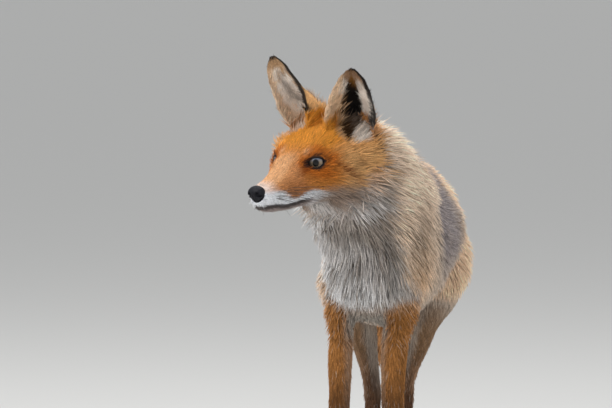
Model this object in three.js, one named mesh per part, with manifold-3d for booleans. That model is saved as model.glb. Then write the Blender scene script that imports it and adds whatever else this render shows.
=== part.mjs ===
// A red fox, life size, standing still with its head turned to its right.
// Units are millimetres. +Z is up, the fox faces -Y and its left side is +X.
// The outline of every piece is the outline of the coat, out to the tips of the hairs.
// The fox is modelled whole in a stance frame, whose origin is on the ground midway between
// the forelegs. It is then parted with thin cuts into the pieces a person would name, and
// the group is shifted so that the origin is on the ground under the middle of the fox.

import * as THREE from "three";
import { mergeVertices } from "three/addons/utils/BufferGeometryUtils.js";
import Module from "manifold-3d";

const wasm = await Module();
wasm.setup();

// ---------------------------------------------------------------- driving dimensions

const GAP = 0.35; // width of the cut between two neighbouring pieces
const CHEST_AXIS = 290; // height of the middle of the chest
const CHEST_WIDTH = 124; // across the shoulders
const FLANK_WIDTH = 142; // across the ribs and loins
const WITHERS_TOP = 398; // height of the mane over the shoulders
const LOIN_TOP = 381; // height of the back over the loins
const CHEST_BOTTOM = 198; // height of the coat under the breastbone
const TUCK_UP = 232; // height of the coat under the loins

const FORELEG_TRACK = 57; // between the middles of the forelegs
const ELBOW_HEIGHT = 195;
const WRIST_HEIGHT = 80;
const FOREARM_WIDTH = 29;

const HIND_STEP = 350; // from the forelegs back to the hind feet
const HOCK_HEIGHT = 101;
const LEFT_HOCK_X = -2;
const RIGHT_HOCK_X = -40;

const EYE_POINT = [-54, -129, 382]; // midway between the eyes
const HEAD_TURN = -27; // degrees, to the fox's right
const HEAD_NOD = 5; // degrees, nose down
const EYE_SPACING = 41; // between the middles of the eyeballs
const EYE_RADIUS = 9;
const MUZZLE_REACH = 79; // from the eye line to the tip of the nose

const TAIL_THICKNESS = 102;
const LEFT = 1;
const RIGHT = -1;

// ---------------------------------------------------------------- shape helpers

const UP = new THREE.Vector3(0, 0, 1);
const FORWARD = new THREE.Vector3(0, -1, 0);
const DOME_RINGS = 3;

const radians = THREE.MathUtils.degToRad;
const lerp = THREE.MathUtils.lerp;
const vector = (values) => new THREE.Vector3(...values);

// A closed solid from rings of points: each ring is joined to the next, and the ends to poles.
function skin(rings, firstPole, lastPole) {
  const around = rings[0].length;
  const points = [...rings.flat(), firstPole, lastPole];
  const first = points.length - 2;
  const last = points.length - 1;
  const faces = [];
  for (let k = 0; k < around; k++) {
    const next = (k + 1) % around;
    faces.push(first, next, k);
    faces.push(last, (rings.length - 1) * around + k, (rings.length - 1) * around + next);
    for (let r = 0; r < rings.length - 1; r++) {
      const a = r * around;
      const b = a + around;
      faces.push(a + k, a + next, b + next, a + k, b + next, b + k);
    }
  }
  return new THREE.BufferGeometry().setFromPoints(points).setIndex(faces);
}

// A body swept along a smooth spine. Each station gives the spine point, the half width and
// the reach above and below it. Domes round off the two ends, and swells raise or sink
// the surface round a point.
function loft({ stations, up = UP, rings, around, power = 2, domes = [0, 0], swells = [] }) {
  const spine = new THREE.CatmullRomCurve3(stations.map((s) => vector(s.at)));
  const reach = new THREE.CatmullRomCurve3(
    stations.map((s) => new THREE.Vector3(s.side, s.top, s.bottom)),
  );
  const slices = [];
  for (let j = DOME_RINGS - 1; j > 0; j--) slices.push([0, j / DOME_RINGS, -domes[0]]);
  for (let i = 0; i <= rings; i++) slices.push([i / rings, 0, 0]);
  for (let j = 1; j < DOME_RINGS; j++) slices.push([1, j / DOME_RINGS, domes[1]]);
  const made = slices.map(([u, turn, dome]) => {
    const tangent = spine.getTangent(u).normalize();
    const across = new THREE.Vector3().crossVectors(tangent, up).normalize();
    const above = new THREE.Vector3().crossVectors(across, tangent);
    const middle = spine.getPoint(u);
    middle.addScaledVector(tangent, dome * Math.sin((turn * Math.PI) / 2));
    const size = reach.getPoint(u).multiplyScalar(Math.cos((turn * Math.PI) / 2));
    return Array.from({ length: around }, (_, k) => {
      const angle = (2 * Math.PI * (k + 0.5)) / around;
      const [c, s] = [Math.cos(angle), Math.sin(angle)];
      const x = size.x * Math.sign(c) * Math.abs(c) ** (2 / power);
      const y = (s > 0 ? size.y : size.z) * Math.sign(s) * Math.abs(s) ** (2 / power);
      const point = middle.clone().addScaledVector(across, x).addScaledVector(above, y);
      const out = point.clone().sub(middle).normalize();
      for (const swell of swells) {
        const away = point.distanceTo(vector(swell.at)) / swell.radius;
        point.addScaledVector(out, swell.height * Math.exp(-away * away));
      }
      return point;
    });
  });
  const end = (u, dome) =>
    spine.getPoint(u).addScaledVector(spine.getTangent(u).normalize(), dome);
  return skin(made, end(0, -domes[0]), end(1, domes[1]));
}

// A sheet of the given thickness: pointAt gives a place and the way the sheet is thickened.
function sheet(pointAt, columns, rows) {
  const points = [];
  for (const face of [0, 1])
    for (let j = 0; j <= rows; j++)
      for (let i = 0; i <= columns; i++) {
        const { place, back } = pointAt((2 * i) / columns - 1, j / rows);
        points.push(face ? place.clone().add(back) : place);
      }
  const faces = [];
  const index = (face, i, j) => (face * (rows + 1) + j) * (columns + 1) + i;
  const quad = (a, b, c, d) => faces.push(a, b, c, a, c, d);
  for (let j = 0; j < rows; j++) {
    for (let i = 0; i < columns; i++) {
      quad(index(0, i, j), index(0, i + 1, j), index(0, i + 1, j + 1), index(0, i, j + 1));
      quad(index(1, i, j), index(1, i, j + 1), index(1, i + 1, j + 1), index(1, i + 1, j));
    }
    quad(index(0, 0, j), index(0, 0, j + 1), index(1, 0, j + 1), index(1, 0, j));
    quad(
      index(0, columns, j), index(1, columns, j),
      index(1, columns, j + 1), index(0, columns, j + 1),
    );
  }
  for (let i = 0; i < columns; i++) {
    quad(index(0, i, 0), index(1, i, 0), index(1, i + 1, 0), index(0, i + 1, 0));
    quad(
      index(0, i, rows), index(0, i + 1, rows),
      index(1, i + 1, rows), index(1, i, rows),
    );
  }
  return new THREE.BufferGeometry().setFromPoints(points).setIndex(faces);
}

// A ball stretched to three half sizes.
function ellipsoid(at, halfSizes, around = 12, rows = 8) {
  return new THREE.SphereGeometry(1, around, rows)
    .rotateX(Math.PI / 2)
    .scale(...halfSizes)
    .translate(...at);
}

// ---------------------------------------------------------------- solids

// A manifold-3d solid from a closed three.js geometry, whichever way its faces point.
function solid(geometry) {
  const bare = new THREE.BufferGeometry();
  bare.setAttribute("position", geometry.getAttribute("position"));
  bare.setIndex(geometry.getIndex());
  const merged = mergeVertices(bare, 1e-4);
  const triVerts = new Uint32Array(merged.index.array);
  const vertProperties = new Float32Array(merged.attributes.position.array);
  const build = () => new wasm.Manifold(new wasm.Mesh({ numProp: 3, vertProperties, triVerts }));
  const made = build();
  if (made.volume() > 0) return made;
  triVerts.reverse();
  return build();
}

const join = (solids) => solids.reduce((a, b) => a.add(b));

// A turned box, as a tool that parts one solid from another.
function box({ at, size, turn = [0, 0, 0] }, shrink = 0) {
  const geometry = new THREE.BoxGeometry(...size.map((s) => s - 2 * shrink));
  const euler = new THREE.Euler(...turn.map(radians), "ZYX");
  geometry.applyMatrix4(new THREE.Matrix4().makeRotationFromEuler(euler));
  return solid(geometry.translate(...at));
}

// Everything in millimetres from the ground up, in the stance frame.
const group = new THREE.Group();

const COLOURS = {
  coat: [0xb5662e, 0.85],
  bib: [0xcfc8c0, 0.9],
  ear: [0x8a6a4c, 0.85],
  leg: [0xa8602e, 0.85],
  paw: [0x4a3226, 0.85],
  tail: [0xa06434, 0.9],
  tip: [0xe4ddd2, 0.9],
  nose: [0x121214, 0.35],
  eye: [0x8e8a66, 0.05],
};

// Adds a solid to the group as one named mesh.
function addNode(name, colour, made) {
  const { vertProperties, triVerts } = made.getMesh();
  const geometry = new THREE.BufferGeometry();
  geometry.setAttribute("position", new THREE.BufferAttribute(vertProperties, 3));
  geometry.setIndex(new THREE.BufferAttribute(triVerts, 1));
  geometry.computeVertexNormals();
  const [color, roughness] = COLOURS[colour];
  const material = new THREE.MeshStandardMaterial({ color, roughness, metalness: 0 });
  const mesh = new THREE.Mesh(geometry, material);
  mesh.name = name;
  group.add(mesh);
}

// ---------------------------------------------------------------- trunk and neck

function trunk() {
  const width = CHEST_WIDTH / 2;
  const flank = FLANK_WIDTH / 2;
  const at = (x, y, z) => [x, y, z];
  return loft({
    stations: [
      { at: at(9, -46, CHEST_AXIS + 2), side: 34, top: 46, bottom: 42 },
      { at: at(10, -24, CHEST_AXIS + 1), side: 49, top: 70, bottom: 62 },
      { at: at(10, 15, CHEST_AXIS), side: width - 4, top: 98, bottom: 82 },
      { at: at(10, 60, CHEST_AXIS), side: width + 1, top: WITHERS_TOP - CHEST_AXIS,
        bottom: CHEST_AXIS - CHEST_BOTTOM },
      { at: at(8, 130, CHEST_AXIS), side: flank - 2, top: 99, bottom: 86 },
      { at: at(5, 200, CHEST_AXIS + 4), side: flank, top: 90, bottom: 76 },
      { at: at(2, 265, CHEST_AXIS + 6), side: flank, top: LOIN_TOP - CHEST_AXIS - 6,
        bottom: CHEST_AXIS + 6 - TUCK_UP },
      { at: at(0, 325, CHEST_AXIS + 4), side: 65, top: 74, bottom: 54 },
      { at: at(-1, 372, CHEST_AXIS - 1), side: 45, top: 55, bottom: 44 },
    ],
    rings: 14,
    around: 18,
    power: 2.15,
    domes: [17, 22],
  });
}

// The shoulder blade and its mane, which fill the corner between neck and chest.
const shoulderBlade = (side) => ellipsoid([9 + side * 34, 20, 318], [27, 60, 60], 12, 8);

function neck() {
  return loft({
    stations: [
      { at: [8, 38, 302], side: 52, top: 76, bottom: 60 },
      { at: [4, -5, 330], side: 57, top: 80, bottom: 66 },
      { at: [-8, -42, 354], side: 57, top: 75, bottom: 60 },
      { at: [-23, -72, 369], side: 51, top: 61, bottom: 53 },
      { at: [-36, -97, 376], side: 40, top: 41, bottom: 42 },
    ],
    rings: 7,
    around: 16,
    power: 2.3,
    domes: [20, 12],
  });
}

// ---------------------------------------------------------------- head

const headPose = new THREE.Matrix4()
  .makeTranslation(...EYE_POINT)
  .multiply(new THREE.Matrix4().makeRotationZ(radians(HEAD_TURN)))
  .multiply(new THREE.Matrix4().makeRotationX(radians(HEAD_NOD)));

// Both sides of the head at once: the mirror image of each swell is added to it.
const mirrored = (swells) =>
  swells.flatMap((s) => [s, { ...s, at: [-s.at[0], s.at[1], s.at[2]] }]);

// The head and lower jaw in the head frame: origin midway between the eyes, nose towards -Y.
function skull() {
  return loft({
    stations: [
      { at: [0, -70, -26], side: 10, top: 8.5, bottom: 15 },
      { at: [0, -58, -26], side: 13, top: 12, bottom: 19.5 },
      { at: [0, -42, -25], side: 15.5, top: 16.5, bottom: 22 },
      { at: [0, -26, -23], side: 19.5, top: 22, bottom: 25 },
      { at: [0, -12, -18], side: 26, top: 26, bottom: 30.5 },
      { at: [0, 4, -13], side: 35, top: 28, bottom: 35 },
      { at: [0, 22, -8], side: 44, top: 31, bottom: 39 },
      { at: [0, 42, -4], side: 49, top: 36, bottom: 43 },
      { at: [0, 62, -3], side: 46, top: 35, bottom: 43 },
      { at: [0, 80, -5], side: 36, top: 25, bottom: 36 },
    ],
    rings: 15,
    around: 16,
    power: 2.1,
    domes: [5, 10],
    swells: mirrored([
      { at: [27, -9, -1], radius: 11, height: -4 }, // hollow in front of the eye
      { at: [24, 4, 12], radius: 10, height: 3 }, // brow
      { at: [33, 12, -16], radius: 13, height: 3 }, // cheekbone
      { at: [50, 34, -27], radius: 22, height: 9 }, // cheek ruff
      { at: [13, -58, -30], radius: 10, height: 2 }, // whisker pad
    ]),
  });
}

// Each ear's root and tip in the head frame, its width, and how many degrees its opening
// turns outwards at the tip. At the root every ear is turned further out.
const EARS = {
  [LEFT]: { root: [35, 47, 12], tip: [51, 33, 91], width: 51, outwards: 22 },
  [RIGHT]: { root: [-27, 47, 12], tip: [-48, 33, 102], width: 56, outwards: 12 },
};
const ROOT_OUTWARDS = 42; // degrees

// The inside of one ear, from its root at v = 0 to its tip at v = 1: a cupped leaf, deepest at
// the root and flatter towards the tip.
function earLeaf(side) {
  const { width, outwards } = EARS[side];
  const root = vector(EARS[side].root);
  const tip = vector(EARS[side].tip);
  const axis = tip.clone().sub(root).normalize();
  const length = root.distanceTo(tip);
  return (u, v) => {
    const turn = radians(lerp(ROOT_OUTWARDS, outwards, Math.min(1, 2 * v)));
    const out = new THREE.Vector3(side * Math.sin(turn), -Math.cos(turn), 0);
    out.addScaledVector(axis, -out.dot(axis)).normalize();
    const across = new THREE.Vector3().crossVectors(axis, out);
    const halfWidth = (width / 2) * (1 - v ** 3) ** 0.8 * (1 - 0.3 * (1 - v) ** 3) + 1.2;
    const bend = radians(lerp(98, 38, THREE.MathUtils.smoothstep(v, 0.3, 0.75)));
    const radius = halfWidth / Math.sin(bend);
    const thickness = lerp(6, 2.4, v);
    const place = root
      .clone()
      .addScaledVector(axis, length * v)
      .addScaledVector(across, radius * Math.sin(bend * u))
      .addScaledVector(out, -radius * (Math.cos(bend * u) - Math.cos(bend)));
    const back = new THREE.Vector3()
      .addScaledVector(across, thickness * Math.sin(bend * u))
      .addScaledVector(out, -thickness * Math.cos(bend * u));
    return { place, back };
  };
}

const ear = (side) => sheet(earLeaf(side), 8, 7);

// A point in the thickness of the ear, over halfway up its middle.
function earPoint(side) {
  const { place, back } = earLeaf(side)(0, 0.6);
  return place.addScaledVector(back, 0.5).toArray();
}

// The muscle and fur that the ear grows out of, between it and the crown.
const earRoot = (side) => ellipsoid([side * 34, 54, 4], [26, 25, 26], 10, 6);

const EYE_AT = [EYE_SPACING / 2, 6, -0.5];
const EYE_OUTWARDS = 30; // degrees between the way an eye looks and straight ahead

function eyeball(side, clearance = 0) {
  const radius = EYE_RADIUS + clearance;
  return ellipsoid([side * EYE_AT[0], EYE_AT[1], EYE_AT[2]], [radius, radius, radius], 10, 6);
}

// The opening between the lids, as a tool that clears the coat in front of the eye.
function lidOpening(side) {
  return new THREE.SphereGeometry(1, 10, 6)
    .scale(9, 16, 6.6)
    .translate(0, -8, 0)
    .rotateZ(radians(side * EYE_OUTWARDS))
    .translate(side * EYE_AT[0], EYE_AT[1], EYE_AT[2]);
}

const NOSE_AT = [0, 6 - MUZZLE_REACH, -24];
const NOSE_SIZE = [8.8, 7.5, 8.6]; // half sizes

const noseBall = (clearance) =>
  solid(ellipsoid(NOSE_AT, NOSE_SIZE.map((half) => half + clearance), 10, 7));

// The nose pad, with a nostril sunk into each side.
function nosePad() {
  const nostril = (side) =>
    solid(ellipsoid([side * 5.2, -MUZZLE_REACH, -24.5], [2.4, 3, 1.9], 6, 4));
  return noseBall(0).subtract(nostril(LEFT)).subtract(nostril(RIGHT));
}

// ---------------------------------------------------------------- legs

function foreleg(side, footY) {
  const x = (side * FORELEG_TRACK) / 2;
  const half = FOREARM_WIDTH / 2;
  const shift = (share) => footY * share;
  return loft({
    stations: [
      { at: [x + side * 8 + 4, 34, 282], side: 15, top: 30, bottom: 34 },
      { at: [x + side * 8 + 2, 26, 232], side: 22, top: 27, bottom: 34 },
      { at: [x + side * 2, 15 + shift(0.2), ELBOW_HEIGHT], side: half + 2.5, top: 19, bottom: 25 },
      { at: [x, 7 + shift(0.5), 158], side: half + 0.5, top: 16, bottom: 17 },
      { at: [x, 2 + shift(0.8), 118], side: half - 1, top: 13.5, bottom: 14.5 },
      { at: [x, shift(0.95), WRIST_HEIGHT], side: half - 1, top: 13, bottom: 14 },
      { at: [x, -2 + shift(1), 52], side: half - 2, top: 12, bottom: 12.5 },
      { at: [x, -7 + shift(1), 22], side: half - 1, top: 14, bottom: 13 },
    ],
    up: FORWARD,
    rings: 10,
    around: 10,
    domes: [10, 6],
  });
}

function hindleg(side, hockX, footY) {
  const y = HIND_STEP + footY;
  const stifle = side * 50;
  const toHock = (share) => lerp(stifle, hockX, share);
  return loft({
    stations: [
      { at: [side * 38, 318, 308], side: 25, top: 46, bottom: 50 },
      { at: [side * 50, 308, 262], side: 27, top: 50, bottom: 60 },
      { at: [toHock(0.06), 300, 226], side: 23, top: 40, bottom: 50 },
      { at: [toHock(0.5), 314, 186], side: 18, top: 27, bottom: 32 },
      { at: [toHock(0.72), 333, 156], side: 14.5, top: 19, bottom: 22 },
      { at: [toHock(0.93), lerp(352, y, 0.5), 126], side: 10.5, top: 13, bottom: 17 },
      { at: [hockX, y + 14, HOCK_HEIGHT], side: 11, top: 13, bottom: 14 },
      { at: [hockX - 1, y + 9, 70], side: 10, top: 11, bottom: 11 },
      { at: [hockX - 1, y + 2, 42], side: 10, top: 10.5, bottom: 11 },
      { at: [hockX, y - 8, 18], side: 12, top: 13, bottom: 11 },
    ],
    up: FORWARD,
    rings: 12,
    around: 10,
    domes: [12, 6],
  });
}

const TOES = [
  { across: -0.72, ahead: 19, turn: 14 },
  { across: -0.26, ahead: 27, turn: 4 },
  { across: 0.26, ahead: 27, turn: -4 },
  { across: 0.72, ahead: 19, turn: -14 },
];

// A paw with its middle at x, y: the pad, four toes and four claws, cut flat where it stands.
function paw(x, y, halfWidth) {
  const pieces = [solid(ellipsoid([x, y - 4, 10], [halfWidth, 22, 15], 8, 4))];
  for (const toe of TOES) {
    const toeX = x + toe.across * halfWidth;
    const toeY = y - toe.ahead;
    pieces.push(solid(ellipsoid([toeX, toeY, 7], [halfWidth * 0.4, 13, 8.8], 6, 3)));
    const claw = new THREE.ConeGeometry(1.7, 12, 3)
      .rotateX(radians(112))
      .rotateZ(radians(toe.turn))
      .translate(toeX + toe.turn * 0.1, toeY - 10, 6.5);
    pieces.push(solid(claw));
  }
  const ground = box({ at: [x, y, -50], size: [200, 200, 100] });
  return join(pieces).subtract(ground);
}

// ---------------------------------------------------------------- tail

function tail() {
  const half = TAIL_THICKNESS / 2;
  const station = (x, y, z, share) => ({
    at: [x, y, z], side: half * share, top: half * share, bottom: half * share,
  });
  return loft({
    stations: [
      station(-1, 352, 326, 0.46),
      station(-2, 396, 303, 0.6),
      station(-8, 438, 262, 0.82),
      station(-22, 482, 218, 0.97),
      station(-37, 532, 183, 1),
      station(-48, 583, 160, 0.9),
      station(-55, 630, 149, 0.66),
      station(-59, 668, 147, 0.32),
    ],
    rings: 11,
    around: 14,
    domes: [8, 14],
  });
}

// ---------------------------------------------------------------- the whole fox

const FORE_FEET = { [LEFT]: 3, [RIGHT]: -5 }; // how far each foot stands behind its middle place
const HIND_FEET = { [LEFT]: -6, [RIGHT]: 8 };
const HOCKS = { [LEFT]: LEFT_HOCK_X, [RIGHT]: RIGHT_HOCK_X };
const SIDES = { left: LEFT, right: RIGHT };
const FACING = Object.values(SIDES);

const inHead = (geometry) => solid(geometry.applyMatrix4(headPose));

let body = join([
  solid(trunk()),
  solid(neck()),
  solid(tail()),
  inHead(skull()),
  ...FACING.flatMap((side) => [
    inHead(ear(side)),
    inHead(earRoot(side)),
    solid(shoulderBlade(side)),
    solid(foreleg(side, FORE_FEET[side])),
    solid(hindleg(side, HOCKS[side], HIND_FEET[side])),
    paw((side * FORELEG_TRACK) / 2, FORE_FEET[side] - 7, 17),
    paw(HOCKS[side], HIND_STEP + HIND_FEET[side] - 12, 15.5),
  ]),
]);

// The nose pad and the eyes lie in beds of their own shape.
body = body.subtract(noseBall(GAP).transform([...headPose.elements]));
addNode("nose", "nose", nosePad().transform([...headPose.elements]));
for (const [name, side] of Object.entries(SIDES)) {
  body = body.subtract(inHead(eyeball(side, GAP))).subtract(inHead(lidOpening(side)));
  addNode(`eye_${name}`, "eye", inHead(eyeball(side)));
}

// ---------------------------------------------------------------- its parts

// A thin wall, and the thin skin of a box: what they take away is the cut between two pieces.
const wall = (at, size, turn) => box({ at, size, turn });
const shell = (spec) => box(spec).subtract(box(spec, GAP));
const toStance = (made) => made.transform([...headPose.elements]);
const NECK_PLANE = { at: [0, -15, 345], turn: [-31, 0, -16] };
const DEEP = 300; // more than the reach of the trunk from the neck plane

// The space behind the neck plane, where the shoulders are.
const behindNeck = box({ at: [0, 0, 0], size: [2 * DEEP, DEEP, 2 * DEEP] })
  .translate([0, DEEP / 2, 0])
  .rotate(NECK_PLANE.turn)
  .translate(NECK_PLANE.at);


// Heights of the cuts through the legs, and how far back the cuts across the trunk lie.
const ELBOW_CUT = 190;
const FOREPAW_CUT = 30;
const STIFLE_CUT = 229;
const HOCK_CUT = 98;
const HINDPAW_CUT = 25;
const CHEST_REAR = 112;
const LOIN_REAR = 236;

const CUTS = [
  toStance(shell({ at: [0, -50, -59], size: [60, 56, 40] })), // jaw
  toStance(wall([0, 71, 0], [240, GAP, 230], [-32, 0, 0])), // head
  wall(NECK_PLANE.at, [300, GAP, 300], NECK_PLANE.turn), // neck
  wall([0, 15, ELBOW_CUT], [130, 120, GAP]),
  wall([0, 5, FOREPAW_CUT], [130, 120, GAP]),
  wall([0, 330, STIFLE_CUT], [240, 150, GAP]),
  wall([0, HIND_STEP, HOCK_CUT], [200, 120, GAP]),
  wall([0, HIND_STEP, HINDPAW_CUT], [200, 120, GAP]),
  wall([0, CHEST_REAR, 300], [400, GAP, 400]),
  wall([0, LOIN_REAR, 300], [400, GAP, 400]),
  wall([-2, 398, 300], [140, GAP, 140], [-25, 0, 0]), // rump and tail
  wall([-18, 478, 220], [220, GAP, 180], [-40, 0, 0]),
  wall([-50, 600, 155], [220, GAP, 180], [-16, 0, 0]),
  ...FACING.flatMap((side) => [
    toStance(wall([side * 40, 42, 31], [86, 90, GAP], [0, side * 20, 0])), // ear
    shell({ at: [side * 90, 15, 270], size: [120, 180, 160] }).intersect(behindNeck), // shoulder
    shell({ at: [side * 83, 305, 284], size: [122, 134, 110] }), // thigh
  ]),
];

// Each piece's name, its colour and a point inside it.
const inStance = (at) => vector(at).applyMatrix4(headPose).toArray();
const PIECES = [
  ["jaw", "bib", inStance([0, -50, -43])],
  ["head", "coat", inStance([0, 20, 0])],
  ["neck", "coat", [-10, -42, 354]],
  ["chest", "bib", [10, 30, 290]],
  ["loin", "coat", [5, 180, 294]],
  ["rump", "coat", [0, 320, 300]],
  ["tail_root", "tail", [-8, 438, 262]],
  ["tail_middle", "tail", [-37, 540, 183]],
  ["tail_tip", "tip", [-56, 640, 148]],
  ...Object.entries(SIDES).flatMap(([name, side]) => {
    const foreX = (side * FORELEG_TRACK) / 2;
    const hock = HOCKS[side];
    const hindY = HIND_STEP + HIND_FEET[side];
    return [
      [`ear_${name}`, "ear", inStance(earPoint(side))],
      [`shoulder_${name}`, "coat", [side * 50, 30, 250]],
      [`thigh_${name}`, "coat", [side * 50, 308, 262]],
      [`forearm_${name}`, "leg", [foreX, 5, 118]],
      [`forepaw_${name}`, "paw", [foreX, -10, 12]],
      [`shank_${name}`, "leg", [lerp(side * 50, hock, 0.72), 333, 156]],
      [`hindfoot_${name}`, "leg", [hock, hindY + 8, 70]],
      [`hindpaw_${name}`, "paw", [hock, hindY - 14, 12]],
    ];
  }),
];

const bodies = body.subtract(join(CUTS)).decompose();
if (bodies.length !== PIECES.length)
  throw new Error(`${bodies.length} bodies for ${PIECES.length} names`);
for (const [name, colour, at] of PIECES) {
  const probe = solid(ellipsoid(at, [1, 1, 1], 4, 3));
  addNode(name, colour, bodies.find((made) => made.intersect(probe).volume() > 0));
}

// ---------------------------------------------------------------- origin

const bounds = new THREE.Box3().setFromObject(group);
const middle = bounds.getCenter(new THREE.Vector3());
group.position.set(-middle.x, -middle.y, -bounds.min.z);

export default group;
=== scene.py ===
"""A standing red fox as a life-size model: skin, coat, eyes, nose, claws and whiskers.

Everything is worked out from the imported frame. Lengths are metres unless a name or
docstring says millimetres (MM turns one into the other). The head has a frame of its own:
its origin lies midway between the eyes, -Y runs to the nose, +X to the fox's left, +Z up.
"""

import logging
import math
from collections.abc import Iterator
from dataclasses import dataclass, field
from enum import Enum

import bpy
import numpy as np
import openvdb
from bpy.types import Material, Node, NodeSocket, Object
from mathutils import Matrix, Vector
from mathutils.bvhtree import BVHTree


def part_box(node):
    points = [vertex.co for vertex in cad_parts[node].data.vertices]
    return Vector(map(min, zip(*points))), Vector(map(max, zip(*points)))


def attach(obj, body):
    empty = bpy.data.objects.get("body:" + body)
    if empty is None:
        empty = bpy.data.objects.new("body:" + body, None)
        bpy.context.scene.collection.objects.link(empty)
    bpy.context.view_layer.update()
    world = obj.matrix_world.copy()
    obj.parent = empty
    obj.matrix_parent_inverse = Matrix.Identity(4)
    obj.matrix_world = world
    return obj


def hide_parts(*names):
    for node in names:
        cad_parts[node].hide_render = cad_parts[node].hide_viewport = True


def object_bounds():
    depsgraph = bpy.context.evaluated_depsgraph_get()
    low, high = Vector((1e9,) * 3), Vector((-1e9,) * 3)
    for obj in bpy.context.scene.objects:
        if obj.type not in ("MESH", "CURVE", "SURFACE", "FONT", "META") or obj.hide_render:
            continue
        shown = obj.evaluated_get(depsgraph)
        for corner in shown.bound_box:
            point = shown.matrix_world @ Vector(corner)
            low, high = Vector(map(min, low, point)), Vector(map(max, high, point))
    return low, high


MM = 0.001
COLOUR_NAME = "coat_colour"
UV_NAME = "OFBake"
BODY = "root"
IRIS_NAME = "iris_place"
LEFT, RIGHT = 1.0, -1.0
SIDES = (LEFT, RIGHT)
EARS = {LEFT: "ear_left", RIGHT: "ear_right"}
FORELEG_GAP = 9.0  # x between the forelegs, in millimetres
CELL_KEY = 4001  # more than the cells across the fox, so that each cell's key is its own

LOG = logging.getLogger("red_fox")
Array = np.ndarray
Window = tuple[slice, slice, slice]
Place = tuple[float, float, float]

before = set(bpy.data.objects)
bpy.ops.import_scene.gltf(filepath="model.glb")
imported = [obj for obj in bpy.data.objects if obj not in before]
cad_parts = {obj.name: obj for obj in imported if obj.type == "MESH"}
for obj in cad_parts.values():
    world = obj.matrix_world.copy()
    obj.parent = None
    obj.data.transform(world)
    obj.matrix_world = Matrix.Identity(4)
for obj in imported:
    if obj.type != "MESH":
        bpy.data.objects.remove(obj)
CAD_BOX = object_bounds()


# ---------------------------------------------------------------- small tools


def unit(vectors: Array) -> Array:
    """Vectors at length one, along the last axis."""
    return vectors / np.maximum(np.linalg.norm(vectors, axis=-1, keepdims=True), 1e-12)


def ramp(low: float, high: float, value: Array) -> Array:
    """A soft step from 0 at low to 1 at high; it falls instead when low is above high."""
    t = np.clip((value - low) / (high - low), 0.0, 1.0)
    return t * t * (3.0 - 2.0 * t)


def bell(value: Array, middle: float, spread: float) -> Array:
    """A soft bump of height 1 at middle, gone after about two spreads."""
    return np.exp(-(((value - middle) / spread) ** 2))


def mix(first: Array, second: Array, share: Array) -> Array:
    """Blend rows of first towards second by a share for each row."""
    return first + (np.asarray(second) - first) * np.asarray(share)[..., None]


def srgb(red: int, green: int, blue: int) -> Array:
    """A screen colour of 0 to 255 as the linear values that a shader takes."""
    value = np.array([red, green, blue], float) / 255.0
    return np.where(value <= 0.04045, value / 12.92, ((value + 0.055) / 1.055) ** 2.4)


def dye(red: int, green: int, blue: int) -> Array:
    """A dataclass field that starts as a screen colour."""
    return field(default_factory=lambda: srgb(red, green, blue))


def per_side(left: float | Place, right: float | Place) -> dict:
    """A dataclass field that holds one value for each side."""
    return field(default_factory=lambda: {LEFT: left, RIGHT: right})


def turned(degrees: float, axis: str) -> Array:
    """The 3 by 3 turn about an axis."""
    return np.array(Matrix.Rotation(math.radians(degrees), 3, axis))


def cell_keys(points: Array, size: float) -> Array:
    """One whole number for the cubic cell that each point lies in."""
    cells = np.floor(points / size).astype(np.int64)
    return (cells[:, 0] * CELL_KEY + cells[:, 1]) * CELL_KEY + cells[:, 2]


@dataclass(frozen=True)
class LocalFrame:
    """A place and three directions of its own, for a head or an eye."""

    origin: Array
    axes: Array

    def to_local(self, points: Array) -> Array:
        """World points in millimetres along this frame's axes."""
        return (points - self.origin) @ self.axes / MM

    def to_world(self, points: Array) -> Array:
        """Points given in this frame's millimetres, as metres in the world."""
        return np.asarray(points, float) * MM @ self.axes.T + self.origin

    def directions(self, vectors: Array) -> Array:
        """World directions along this frame's axes."""
        return vectors @ self.axes

    def out(self, vectors: Array) -> Array:
        """This frame's directions in the world."""
        return np.asarray(vectors, float) @ self.axes.T


def corner_shares(place: Array, soft: bool = False) -> Iterator[tuple[Array, Array]]:
    """Look up the eight grid points round each place.

    Args:
        place: Places, in steps of the grid.
        soft: Whether the shares ease in and out.

    Yields:
        The x, y and z of a grid point for each place, and its share in that place.
    """
    cell = np.floor(place).astype(int)
    part = place - cell
    part = part * part * (3.0 - 2.0 * part) if soft else part
    for corner in np.ndindex(2, 2, 2):
        yield (cell + np.array(corner)).T, np.prod(np.where(corner, part, 1.0 - part), axis=1)


class PatchNoise:
    """Smooth random patches in space, from a seeded lattice of numbers."""

    LATTICE = 32

    def __init__(self, seed: int, size_mm: float) -> None:
        """Make the lattice from a seed, with its points this far apart."""
        self.values = np.random.default_rng(seed).random((self.LATTICE,) * 3)
        self.size = size_mm * MM

    def at(self, points: Array) -> Array:
        """The value from 0 to 1 at each point."""
        total = np.zeros(len(points))
        for index, share in corner_shares(points / self.size, soft=True):
            total += share * self.values[tuple(index % self.LATTICE)]
        return total


# ---------------------------------------------------------------- meshes


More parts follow.
